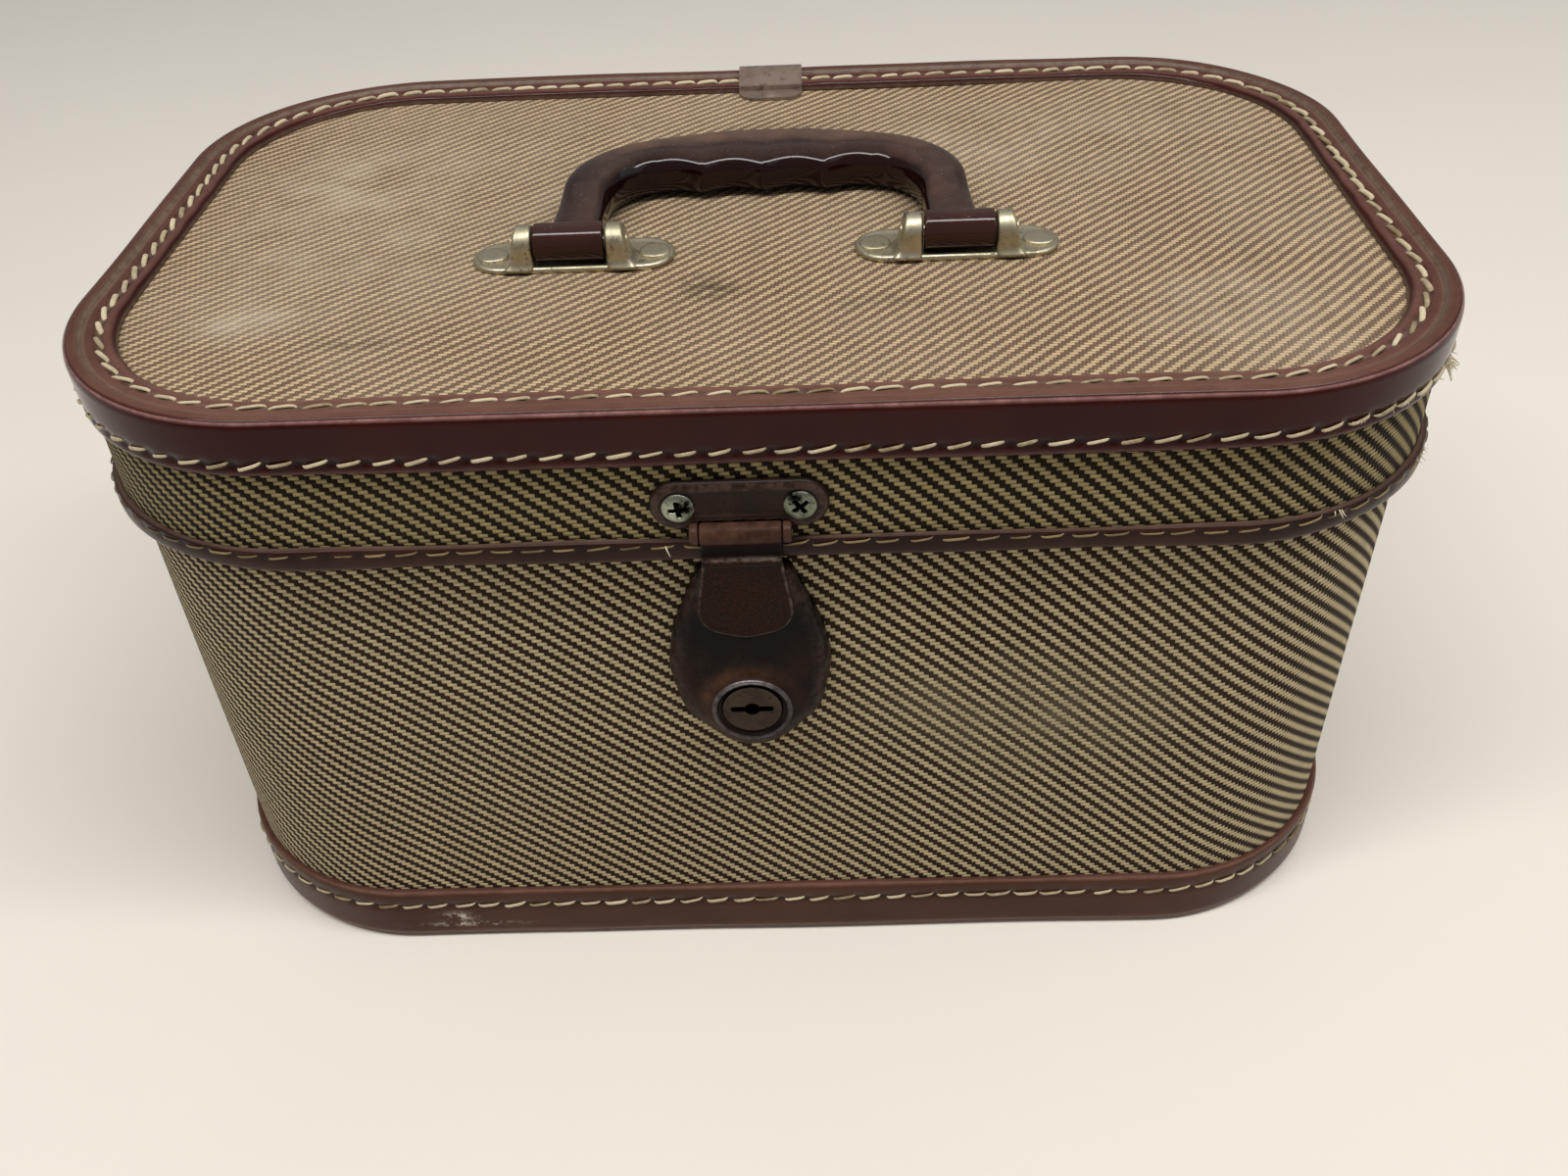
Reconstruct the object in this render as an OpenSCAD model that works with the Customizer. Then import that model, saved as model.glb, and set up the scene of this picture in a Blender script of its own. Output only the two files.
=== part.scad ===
// Train case with a hinged lid, drop hasp, key lock, folding handle and slotted lid stay.
// Origin at the middle of the underside, X to the right, Y to the rear, Z up. Millimetres.

/* [Body] */
// Width over the lid edge binding
body_w = 344; // [320:1:400]
// Depth over the lid edge binding
body_d = 212; // [200:1:260]
// Height of the parting line between base and lid
parting_h = 143; // [125:1:160]
// Height of the bare band of cloth round the lid
lid_band_h = 21.5; // [19:0.5:26]
// Plan corner radius over the lid edge binding
corner_r = 62; // [54:1:70]

/* [Walls] */
// Board thickness of walls and panels
board_t = 3; // [2.4:0.1:4]
// Thickness of the twill cloth
cloth_t = 0.8; // [0.5:0.1:1]
// Thickness of the lining
lining_t = 0.8; // [0.5:0.1:1]
// Step from the lid wall in to the base wall
lid_step = 2.5; // [2:0.1:4]
// Gap between the closed lid and the base
seat_gap = 0.3; // [0.2:0.05:0.6]
// Thickness of the bottom panel
bottom_t = 4; // [3:0.1:6]
// Thickness of the collar inside the base
collar_t = 2; // [1.5:0.1:3]
// Rise of the collar above the base
collar_rise = 12; // [6:0.5:14]
// Depth of the collar below the top of the base
collar_depth = 25; // [22:0.5:28]

/* [Bindings] */
// How far the lid bindings stand out from the cloth
strip_t = 1.8; // [1.2:0.1:2]
// Height of the lid edge binding on the wall
strip_h = 15; // [12:0.5:17]
// Radius of the bead at the lid edge
bead_r = 2.4; // [2:0.1:3]
// Outward reach of the bead beyond the cloth
bead_out = 2; // [1.9:0.1:2.4]
// Crest height of the bead above the lid cloth
bead_rise = 4; // [3.5:0.1:5]
// Width of the lid edge binding on the lid top
flange_w = 12.5; // [11:0.5:14]
// Thickness of that binding at its inner edge
flange_t = 1.5; // [1:0.1:1.8]
// Distance of its pressed groove from the outside
groove_in = 4; // [3.5:0.1:5]
// Radius of the pressed groove
groove_r = 0.6; // [0.3:0.1:0.8]
// Height of the lid rim binding
rim_h = 5.5; // [5:0.1:6]
// Thickness of the lid rim binding under and behind the edge
rim_t = 1.2; // [0.8:0.1:1.4]
// Height of the foot binding
foot_h = 20; // [14:0.5:28]
// How far the foot binding stands out from the cloth
foot_t = 2; // [1.5:0.1:2.4]
// Radius of the lower edge of the foot binding
foot_r = 3; // [2.5:0.1:3.4]
// Width of the foot binding on the underside
foot_w = 14; // [10:0.5:20]
// Thickness of the foot binding on the underside
foot_under_t = 1.5; // [1:0.1:1.8]

/* [Handle] */
// Distance of the handle pivot from the middle of the lid, to the front
handle_front = 27.3; // [20:0.1:32]
// Distance of the handle from the middle of the lid, to the right
handle_x = 1.8; // [-4:0.1:4]
// Least gap between the folded grip and the lid cloth
grip_gap = 0.4; // [0.3:0.1:1.5]
// Least gap between a barrel and its bracket plate
barrel_gap = 0.2; // [0.1:0.05:0.5]
// Shift of each bracket outward from the middle of its arm
arm_shift = 1.5; // [0:0.1:2]
// Length of the bracket plate beyond each ear
bracket_tab = 10.5; // [9:0.5:14]
// Width of the bracket plate
bracket_w = 17; // [15:0.5:20]
// Distance of the middle of the bracket plate behind the pivot
bracket_back = 3.8; // [0:0.1:4]
// Thickness of the bracket plate
bracket_t = 1.4; // [1:0.1:1.8]
// Thickness of an ear at its foot
ear_foot = 6.9; // [6:0.1:8]
// Thickness of an ear at its top
ear_top = 4.8; // [4:0.1:5.5]
// Radius of an ear about the pivot
ear_r = 4.7; // [4:0.1:5.2]
// Radius of a handle barrel
barrel_r = 5; // [4.5:0.1:5.5]
// Length of a handle barrel
barrel_l = 18; // [16:0.1:18]
// Radius of a handle pin
handle_pin_r = 1.8; // [1.4:0.1:2.2]
// Outside width of the handle
grip_w = 110.6; // [108:0.1:114]
// Reach of the outside of the grip from the pivot
grip_out = 58.3; // [52:0.1:63]
// Reach of the inside of the grip from the pivot
grip_in = 36.3; // [33:0.1:38]
// Thickness of the grip
grip_t = 12.4; // [11:0.1:14]
// Width of a handle arm
arm_w = 13; // [11:0.1:13.5]
// Outside corner radius of the handle
grip_corner_r = 30; // [24:0.5:34]
// Pitch of the finger grooves
finger_pitch = 17; // [15:0.1:18]
// Depth of the finger grooves
finger_depth = 2.5; // [1:0.1:3]

/* [Hasp] */
// Distance of the hasp and lock from the middle of the front, to the right
latch_x = -4.2; // [-6:0.1:6]
// Width of the hasp plate
hasp_w = 41.5; // [38:0.5:46]
// Height of the hasp plate
hasp_h = 13; // [12:0.1:15]
// Thickness of the hasp plate
hasp_t = 1.8; // [1.4:0.1:2]
// Radius of the pressed edge of the hasp plate
hasp_round = 1.2; // [0.6:0.1:1.3]
// Gap between the rolled knuckle and the rim binding
hasp_gap = 0.5; // [0.4:0.05:1]
// Width of the rolled knuckle
knuckle_w = 23.6; // [22:0.1:26]
// Length of the middle knuckle, on the tongue
knuckle_mid = 19; // [16:0.1:20]
// Outside radius of the rolled knuckle
knuckle_r = 2.6; // [2.4:0.1:2.7]
// Radius of the hasp pin
hasp_pin_r = 1.2; // [1:0.05:1.4]
// Distance of a hasp screw from the end of its plate
hasp_screw_in = 6.75; // [6:0.05:7.5]
// Width of the tongue at its fold
tongue_top_w = 18.8; // [17:0.1:19]
// Width of the tongue at its foot
tongue_w = 23.2; // [22:0.1:26]
// Rise of the fold above the parting line
tongue_fold = 1.4; // [1:0.1:2]
// Drop of the tongue tip below the parting line
tongue_drop = 21.7; // [20:0.1:24]
// Thickness of the tongue
tongue_t = 1.4; // [1:0.1:1.8]

/* [Lock] */
// Drop of the lock axis below the parting line
lock_drop = 46.2; // [45:0.1:50]
// Width of the lock case
lock_w = 41; // [40:0.5:44]
// Height of its widest place above the lock axis
belly_rise = 12; // [10:0.5:14]
// Side radius at its widest place
belly_r = 13.5; // [12:0.1:15]
// Drop of its lower end below the lock axis
tail_drop = 16.2; // [15:0.1:18]
// Radius of its lower end
tail_r = 13; // [12:0.1:14]
// Width of the lock case at its neck
neck_w = 23.6; // [22.5:0.1:28]
// Depth of the lock case in front of its back plate
lock_depth = 5; // [4.8:0.1:5.2]
// Sheet thickness of the lock case
lock_sheet = 1.2; // [0.8:0.1:1.2]
// Outside radius of the lock bezel
bezel_r = 10.25; // [9.6:0.05:11]
// Radius of the lock plug
plug_r = 7.5; // [7:0.1:8]
// Width of the keyhole
key_w = 11; // [8:0.5:12]
// Height of the slit of the keyhole
key_slit = 1.8; // [1.4:0.1:2.4]
// Throw radius of the pin that drives the bolt
throw_r = 4.5; // [4.4:0.05:4.6]

/* [Clip] */
// Distance of the binding clip from the middle of the rear, to the right
clip_x = 2.3; // [-6:0.1:6]
// Width of the binding clip
clip_w = 20.5; // [18:0.5:24]
// Length of its tab on the lid cloth
clip_tab = 8; // [7:0.5:9]
// Sheet thickness of the binding clip
clip_t = 1; // [0.8:0.1:1.2]

/* [Hinges] */
// Width of each rear hinge
hinge_w = 36; // [30:1:44]
// Outside radius of the hinge knuckles
hinge_r = 2.4; // [2.2:0.05:2.6]
// Radius of a hinge pin
hinge_pin_r = 1.2; // [1:0.05:1.3]
// Thickness of a hinge leaf
leaf_t = 1.2; // [1:0.05:1.3]

/* [Stay] */
// Width of the stay arm
stay_w = 10; // [9:0.1:11]
// Thickness of the stay arm
stay_t = 1.6; // [1.2:0.1:1.8]
// Radius of the studs in the stay arm
stay_stud_r = 2; // [1.8:0.05:2.2]
// Lid opening at which the stay stops it
lid_open = 95; // [85:1:95]

/* [Fits] */
// Radial clearance of running pins
run_fit = 0.05; // [0.02:0.01:0.1]
// Side clearance between moving pieces
side_fit = 0.3; // [0.2:0.05:0.4]
// Radial clearance of the lock plug
plug_fit = 0.1; // [0.05:0.01:0.15]

/* [Hidden] */
$fn = 64;
eps = 0.01;
// Overshoot of a cut beyond the face it goes through
cut = 1;

// Every wall is an offset of this core rectangle
core_x = body_w / 2 - corner_r;
core_y = body_d / 2 - corner_r;
lid_r = corner_r - bead_out;
lid_board_r = lid_r - cloth_t;
lid_in_r = lid_board_r - board_t;
lid_lining_r = lid_in_r - lining_t;
rim_out_r = lid_r + strip_t;
rim_in_r = lid_in_r - rim_t;
base_r = lid_r - lid_step;
base_board_r = base_r - cloth_t;
base_in_r = base_board_r - board_t;
base_lining_r = base_in_r - lining_t;
collar_in_r = base_in_r - collar_t;
foot_out_r = base_r + foot_t;
foot_in_r = foot_out_r - foot_w;

// Levels
body_h = parting_h + rim_h + lid_band_h + strip_h;
base_top = parting_h - seat_gap;
panel_top = body_h - bead_rise;
lid_board_top = panel_top - cloth_t;
lid_board_low = lid_board_top - board_t;
lid_wall_low = parting_h + rim_t;
rim_top = parting_h + rim_h;
strip_low = body_h - strip_h;
panel_low = cloth_t;
floor_low = panel_low + bottom_t;
floor_top = floor_low + lining_t;
collar_low = base_top - collar_depth;
collar_top = base_top + collar_rise;

// Faces of the front and rear
base_front = -core_y - base_r;
lid_front = -core_y - lid_r;
rim_front = -core_y - rim_out_r;
base_rear = core_y + base_r;
lid_rear = core_y + lid_r;
rim_rear = core_y + rim_out_r;

// Binding of the lid edge
bead_c = [corner_r - bead_r, body_h - bead_r];
flange_in_r = corner_r - flange_w;
flange_p = [flange_in_r, panel_top + flange_t];
groove_at = corner_r - groove_in;
rim_round = 0.55;

// Handle
handle_y = -handle_front;
plate_top = panel_top + bracket_t;
axis_z = max(panel_top + grip_gap + grip_t / 2, plate_top + barrel_gap + barrel_r);
ear_in = barrel_l / 2 + side_fit;
barrel_bore_r = handle_pin_r + run_fit;
ear_high = axis_z + ear_r;
pin_half = ear_in + ear_foot - (ear_foot - ear_top) * (axis_z - plate_top) / (ear_high - plate_top);
ear_round = 1;
ear_shoulder = 2.5;
bracket_round = 0.8;
bracket_y = handle_y + bracket_back;
bracket_x = grip_w / 2 - arm_w / 2 + arm_shift;
bracket_l = 2 * (ear_in + ear_foot + bracket_tab);
bracket_rivet_x = ear_in + ear_foot + bracket_tab / 2;
bracket_rivet_r = 2;
bracket_head_r = 4.1;
bracket_head_h = 0.7;
bracket_tail_r = 3.2;
ring_n = 20;
groove_steps = 8;
grip_half_n = 14;
grip_half = grip_half_n * finger_pitch / groove_steps;
arm_out = grip_w / 2;
arm_in = arm_out - arm_w;
in_corner_r = arm_in - grip_half;
arm_root_t = 0.92 * barrel_r;
arm_hold = bracket_back + bracket_w / 2 + side_fit;
arm_blend_l = 14;
arm_n = 5;
corner_n = 9;
section_pow = 3;

// Hasp
hasp_axis = [lid_front - side_fit - knuckle_r, rim_top + hasp_gap + knuckle_r];
hasp_lift = 0.4;
hasp_low = hasp_axis[1] + hasp_lift;
hasp_screw_x = hasp_w / 2 - hasp_screw_in;
hasp_mid_z = hasp_low + hasp_h / 2;
hasp_face = lid_front - hasp_t;
neck_gap = 0.8;
neck_back = rim_front - neck_gap;
neck_t = 1.2;
neck_top = hasp_axis[1] - knuckle_r - side_fit;
fold_z = parting_h + tongue_fold;
fold_h = 0.9;
tip_z = parting_h - tongue_drop;
tip_r = 10;
foot_corner_r = 7;
foot_corner_rise = 1.2;
top_corner_r = 1;
screw_head_r = 3.8;
screw_head_h = 1.5;
screw_shank_r = 1.4;
screw_l = 4.6;
recess_l = 5;
recess_w = 1.1;
recess_d = 1;
staple_t = 2;
staple_in = 3;
staple_low = tip_z + staple_in;
staple_h = 7;
staple_end = base_front - side_fit;

// Lock
lock_z = parting_h - lock_drop;
plate_t = 1;
plate_face = base_front - plate_t;
lock_face = plate_face - lock_depth;
tongue_gap = 0.5;
tongue_back = lock_face - tongue_gap;
tongue_face = tongue_back - tongue_t;
neck_r = 3;
lock_top_gap = 3;
neck_rise = lock_drop - lock_top_gap - neck_r;
cheek_r = 14.5;
cheek_rise = 3.5;
cheek_in = 1.5;
shoulder_r = 9.5;
shoulder_rise = 21;
shoulder_in = 1.5;
lock_least_r = 0.5;
arc_step = 7;
dome = [[0, 0], [0.35, 0.2], [0.7, 1.2], [0.9, 2.8], [1, 5]];
bolt_gap = 0.4;
bolt_back = plate_face - bolt_gap;
bolt_t = 1.2;
bolt_face = bolt_back - bolt_t;
plug_back = bolt_face - side_fit;
plug_flange_t = 0.8;
plug_flange_w = 1.1;
plug_flange_r = plug_r + plug_flange_w;
bezel_back = plug_back - plug_flange_t - side_fit;
bezel_h = 1.6;
bezel_lip = 1;
bezel_face = lock_face - bezel_h;
bezel_round = 1;
plug_sink = 0.4;
plug_face = bezel_face + plug_sink;
key_d = 2.4;
key_hole_r = 2;
drive_pin_r = 1.2;
drive_play = 0.3;
bolt_rest = -throw_r * sin(45);
bolt_travel = 2 * throw_r * sin(45);
nose_z = staple_low + staple_h / 2;
nose_h = 3;
nose_play = 0.4;
nose_gap = 0.9;
nose_tip = -staple_t / 2 - nose_gap;
column_gap = 0.6;
column_right = -staple_t / 2 - column_gap - bolt_travel;
column_w = 3.5;
column_left = column_right - column_w;
column_cap = 2;
bolt_drop = 2;
bolt_rise = 8;
bolt_arm_rise = 2;
bolt_web = 3;
bolt_half = drive_pin_r + drive_play + bolt_web;
bolt_low = lock_z - bolt_drop;
bolt_high = lock_z + bolt_rise;
bolt_left = bolt_rest - bolt_half;
bolt_right = bolt_rest + bolt_half;
guide_t = 1.6;
slot_play = 0.5;
slot_half = staple_t / 2 + slot_play;
slot_drop = 2.5;
slot_low = staple_low - slot_drop;
lock_rivet_x = 13.5;
lock_rivet_rise = 13.5;
lock_rivet_z = lock_z + lock_rivet_rise;
lock_rivet_r = 1.5;
lock_rivet_sink = 2.6;
lock_rivet_tail_r = 3.2;
tail_h = 0.8;

// Hinges
hinge_in = 7;
hinge_x = core_x - hinge_w / 2 - hinge_in;
hinge_y = rim_rear + side_fit + hinge_r;
hinge_z = parting_h;
hinge_bore_r = hinge_pin_r + run_fit;
hinge_mid = hinge_w / 3;
leaf_foot = 24;
leaf_bend = 9;
lower_leaf_low = base_top - leaf_foot;
leaf_rivet_in = 6;
lower_rivet_z = lower_leaf_low + leaf_rivet_in;
leaf_gap = 1;
upper_leaf_top = strip_low - leaf_gap;
upper_rivet_z = upper_leaf_top - leaf_rivet_in;
riser_lap = 0.1;
riser_in = hinge_y - hinge_r + riser_lap;
leaf_step = 3;
hinge_rivet_x = 10;
hinge_rivet_r = 1.4;
hinge_head_r = 2.8;
hinge_head_h = 1.1;

// Stay: both studs lie on one circle about the hinge, so the arm turns by half the lid angle
stay_play = 0.2;
stay_slot_r = stay_stud_r + stay_play;
stay_lid_rise = 20;
stay_lead = 16;
stay_floor_gap = 6.2;
stay_drop = parting_h + stay_lid_rise - floor_top - stay_floor_gap - stay_play - stay_slot_r - stay_w / 2;
stay_rho = stay_drop / (2 * sin((lid_open + stay_lead) / 2));
stay_gap = 1.5;
stay_face = core_x + collar_in_r - stay_gap;
stay_base_drop = 2.7;
stay_base_z = base_top - stay_base_drop;
stay_base_y = hinge_y - sqrt(pow(stay_rho, 2) - pow(hinge_z - stay_base_z, 2));
stay_lid_z = parting_h + stay_lid_rise;
stay_lid_y = hinge_y - sqrt(pow(stay_rho, 2) - pow(stay_lid_z - hinge_z, 2));
stay_start = acos((hinge_y - stay_lid_y) / stay_rho) + acos((hinge_y - stay_base_y) / stay_rho);
stay_shut = 2 * stay_rho * sin(stay_start / 2);
stay_wide = 2 * stay_rho * sin((stay_start + lid_open) / 2);
stay_tilt = atan2(stay_base_y - stay_lid_y, stay_lid_z - stay_base_z);
stay_l = stay_wide + stay_slot_r + stay_play;
stay_head_r = 4;
stay_head_t = 1.2;
stay_inner = stay_face - stay_t;
stud_bite = 2;

// Binding clip
clip_drop = 11;
clip_end_r = 0.8 * clip_tab;
clip_end_y = core_y + flange_in_r - clip_tab;
clip_rivet_y = clip_end_y + (clip_tab - clip_t) / 2;
clip_rivet_r = 1.3;
clip_rivet_web = 1;
clip_rivet_low = lid_board_low + clip_rivet_web;
clip_head_r = 2.9;
clip_head_h = 0.8;

// Plan outline at a distance outside the core rectangle
module plan(r) {
  square([2 * (core_x + r), 2 * core_y], center = true);
  square([2 * core_x, 2 * (core_y + r)], center = true);
  for (x = [-core_x, core_x], y = [-core_y, core_y]) translate([x, y]) circle(r);
}

// Solid panel between two levels
module slab(r, z0, z1) {
  translate([0, 0, z0]) linear_extrude(z1 - z0) plan(r);
}

// Upright wall between two levels
module tube(r_out, r_in, z0, z1) {
  translate([0, 0, z0]) linear_extrude(z1 - z0) difference() {
    plan(r_out);
    plan(r_in);
  }
}

// Sweeps a profile of (distance from the core, height) round the case
module sweep() {
  translate([core_x, core_y, 0]) rotate_extrude(angle = 90) children();
  translate([-core_x, core_y, 0]) rotate([0, 0, 90]) rotate_extrude(angle = 90) children();
  translate([-core_x, -core_y, 0]) rotate([0, 0, 180]) rotate_extrude(angle = 90) children();
  translate([core_x, -core_y, 0]) rotate([0, 0, 270]) rotate_extrude(angle = 90) children();
  translate([core_x, core_y, 0]) rotate([90, 0, 0]) linear_extrude(2 * core_y) children();
  translate([-core_x, -core_y, 0]) rotate([90, 0, 180]) linear_extrude(2 * core_y) children();
  translate([core_x, -core_y, 0]) rotate([90, 0, -90]) linear_extrude(2 * core_x) children();
  translate([-core_x, core_y, 0]) rotate([90, 0, 90]) linear_extrude(2 * core_x) children();
}

// Rectangle with rounded corners
module round_box(x0, y0, x1, y1, r) {
  translate([x0 + r, y0]) square([x1 - x0 - 2 * r, y1 - y0]);
  translate([x0, y0 + r]) square([x1 - x0, y1 - y0 - 2 * r]);
  for (x = [x0 + r, x1 - r], y = [y0 + r, y1 - r]) translate([x, y]) circle(r);
}

// Outward normal of the tangent from circle a to circle b, going round anticlockwise
function tangent(a, b) =
  let (d = [b[0] - a[0], b[1] - a[1]], u = d / norm(d), s = (a[2] - b[2]) / norm(d))
  s * u + sqrt(1 - s * s) * [u[1], -u[0]];

// Outline drawn tight round circles given anticlockwise as [x, y, r]
module blob(c) {
  n = len(c);
  for (k = c) translate([k[0], k[1]]) circle(k[2]);
  for (i = [0:n - 1]) {
    a = c[i];
    b = c[(i + 1) % n];
    t = tangent(a, b);
    polygon([[a[0], a[1]], [a[0], a[1]] + a[2] * t, [b[0], b[1]] + b[2] * t, [b[0], b[1]]]);
  }
  if (n > 2) polygon([for (k = c) [k[0], k[1]]]);
}

// Points of the same outline, with arcs in steps of at most arc_step degrees
function arc_turn(a, b) = (atan2(b[1], b[0]) - atan2(a[1], a[0]) + 720) % 360;
function arc_points(k, from, turn) =
  let (n = max(1, ceil(turn / arc_step)), a = atan2(from[1], from[0]))
  [for (i = [0:n]) [k[0] + k[2] * cos(a + turn * i / n), k[1] + k[2] * sin(a + turn * i / n)]];
function lace(c) = [for (i = [0:len(c) - 1])
  let (a = tangent(c[(i + len(c) - 1) % len(c)], c[i]), b = tangent(c[i], c[(i + 1) % len(c)]))
  each arc_points(c[i], a, arc_turn(a, b))];

// Extrudes a front view of (x, z) between two depths
module from_front(y0, y1) {
  translate([0, y1, 0]) rotate([90, 0, 0]) linear_extrude(y1 - y0) children();
}

// Extrudes a side view of (y, z) between two widths
module from_side(x0, x1) {
  translate([x0, 0, 0]) rotate([90, 0, 90]) linear_extrude(x1 - x0) children();
}

module rod_x(r, x0, x1) {
  translate([x0, 0, 0]) rotate([0, 90, 0]) cylinder(r = r, h = x1 - x0);
}

module rod_y(r, y0, y1) {
  translate([0, y0, 0]) rotate([-90, 0, 0]) cylinder(r = r, h = y1 - y0);
}

module block(x0, y0, z0, x1, y1, z1) {
  translate([x0, y0, z0]) cube([x1 - x0, y1 - y0, z1 - z0]);
}

// Half section of a plate with a rounded upper edge
module pill_section(w, h, r) {
  square([w / 2 - r, h]);
  square([w / 2, h - r]);
  intersection() {
    translate([w / 2 - r, h - r]) circle(r);
    translate([w / 2 - r, h - r]) square(r);
  }
}

// Round-ended plate on the XY plane with a rounded upper edge
module pill(l, w, h, r) {
  run = l - w;
  for (s = [-1, 1]) translate([s * run / 2, 0, 0]) rotate([0, 0, -90 * s])
    rotate_extrude(angle = 180) pill_section(w, h, r);
  translate([-run / 2, 0, 0]) rotate([90, 0, 90]) linear_extrude(run) {
    pill_section(w, h, r);
    mirror([1, 0]) pill_section(w, h, r);
  }
}

// Domed head standing on the XY plane
module dome_head(r, h) {
  big_r = (r * r + h * h) / (2 * h);
  rotate_extrude() intersection() {
    translate([0, h - big_r]) circle(big_r);
    square([r, h]);
  }
}

// Section of the lid edge binding, thickened outward by grow
module edge_section(grow = 0) {
  r = bead_r + grow;
  p = flange_p + [0, grow];
  a = 180 + atan2(bead_c[1] - p[1], bead_c[0] - p[0]);
  a_top = a - acos(r / norm(p - bead_c));
  touch = bead_c + r * [cos(a_top), sin(a_top)];
  difference() {
    union() {
      translate(bead_c) circle(r);
      translate([bead_c[0], strip_low]) square([rim_out_r + grow - bead_c[0], bead_c[1] - strip_low]);
      polygon([[flange_in_r, panel_top], [bead_c[0], panel_top], bead_c, touch, p]);
    }
    translate([0, strip_low - cut]) square([lid_r, panel_top - strip_low + cut]);
  }
}

// Pressed groove in the top of the lid edge binding
module groove_section() {
  slope = (body_h - flange_p[1]) / (bead_c[0] - flange_in_r);
  translate([groove_at, flange_p[1] + slope * (groove_at - flange_in_r)]) circle(groove_r);
}

module rim_section() {
  round_box(rim_in_r, parting_h, rim_out_r, lid_wall_low, rim_round);
  round_box(lid_r, parting_h, rim_out_r, rim_top, rim_round);
  round_box(rim_in_r, parting_h, lid_in_r, rim_top, rim_round);
}

module foot_section() {
  top_r = 0.45 * foot_t;
  difference() {
    union() {
      translate([foot_in_r, 0]) square([foot_w - foot_r, foot_r]);
      translate([foot_out_r - foot_r, foot_r]) circle(foot_r);
      translate([foot_out_r - foot_r, foot_r]) square([foot_r, foot_h - top_r - foot_r]);
      translate([base_r, foot_r]) square([foot_t - top_r, foot_h - foot_r]);
      translate([foot_out_r - top_r, foot_h - top_r]) circle(top_r);
    }
    translate([0, foot_under_t]) square([base_r, foot_h]);
  }
}

module collar_section() {
  top_r = 0.45 * collar_t;
  translate([collar_in_r, collar_low]) square([collar_t, collar_top - top_r - collar_low]);
  round_box(collar_in_r, collar_top - collar_t, base_in_r, collar_top, top_r);
}

// Holes through the front and rear walls of the base for rivets
module base_holes() {
  for (s = [-1, 1]) {
    translate([latch_x + s * lock_rivet_x, 0, lock_rivet_z])
      rod_y(lock_rivet_r, base_front - cut, -core_y - collar_in_r + cut);
    for (k = [-1, 1])
      translate([s * hinge_x + k * hinge_rivet_x, 0, lower_rivet_z])
        rod_y(hinge_rivet_r, core_y + collar_in_r - cut, base_rear + cut);
  }
}

// Holes through the lid walls for rivets, screws and the stay stud
module lid_holes() {
  for (s = [-1, 1]) {
    translate([latch_x + s * hasp_screw_x, 0, hasp_mid_z])
      rod_y(screw_shank_r, hasp_face - cut, hasp_face + screw_l);
    for (k = [-1, 1])
      translate([s * hinge_x + k * hinge_rivet_x, 0, upper_rivet_z])
        rod_y(hinge_rivet_r, core_y + lid_lining_r - cut, lid_rear + cut);
  }
  translate([0, stay_lid_y, stay_lid_z]) rod_x(stay_stud_r, stay_face, core_x + lid_in_r + stud_bite);
}

// Holes through the lid top for the bracket rivets and the clip rivet
module top_holes() {
  for (s = [-1, 1], k = [-1, 1])
    translate([handle_x + s * bracket_x + k * bracket_rivet_x, bracket_y, 0]) {
      translate([0, 0, lid_board_low - cut])
        cylinder(r = bracket_rivet_r, h = panel_top - lid_board_low + 2 * cut);
      translate([0, 0, lid_board_low - lining_t - cut]) cylinder(r = bracket_tail_r, h = lining_t + cut);
    }
  translate([clip_x, clip_rivet_y, clip_rivet_low])
    cylinder(r = clip_rivet_r, h = panel_top - clip_rivet_low + cut);
}

module base_wall() {
  color("tan") difference() {
    tube(base_board_r, base_in_r, floor_low, base_top - cloth_t);
    base_holes();
    stay_base_hole();
  }
}

module stay_base_hole() {
  translate([0, stay_base_y, stay_base_z]) rod_x(stay_stud_r, stay_face, core_x + base_in_r + stud_bite);
}

module base_bottom_panel() {
  color("tan") {
    slab(foot_in_r, panel_low, foot_under_t + eps);
    slab(base_board_r, foot_under_t, floor_low);
  }
}

module base_bottom_covering() {
  color("dimgray") slab(foot_in_r, 0, panel_low);
}

module base_wall_covering() {
  color("darkkhaki") difference() {
    union() {
      tube(base_r, base_board_r, foot_under_t, base_top);
      tube(base_r, base_in_r, base_top - cloth_t, base_top);
    }
    base_holes();
  }
}

module base_foot_binding() {
  color("maroon") sweep() foot_section();
}

module base_collar() {
  color("bisque") difference() {
    sweep() collar_section();
    base_holes();
    stay_base_hole();
  }
}

module base_lining() {
  color("bisque") difference() {
    union() {
      slab(base_in_r, floor_low, floor_top);
      tube(base_in_r, base_lining_r, floor_low, collar_low);
    }
    base_holes();
  }
}

// Front view of the lock case, drawn in by inset
module lock_outline(inset = 0) {
  half = lock_w / 2;
  top_r = max(neck_r, inset + lock_least_r);
  side = [
    [half - cheek_in - cheek_r, cheek_rise, cheek_r - inset], [half - belly_r, belly_rise, belly_r - inset],
    [half - shoulder_in - shoulder_r, shoulder_rise, shoulder_r - inset],
    [neck_w / 2 - top_r, neck_rise + neck_r - top_r, top_r - inset]
  ];
  other = [for (i = [len(side) - 1:-1:0]) [-side[i][0], side[i][1], side[i][2]]];
  translate([0, lock_z]) polygon(lace(concat([[0, tail_r - tail_drop, tail_r - inset]], side, other)));
}

// Domed body of the lock case, or its hollow when sheet is its wall thickness
module lock_body(sheet = 0) {
  hull() for (k = dome) {
    y = plate_face - k[0] * (lock_depth - sheet);
    from_front(y - eps, y) lock_outline(k[1] + sheet);
  }
}

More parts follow.
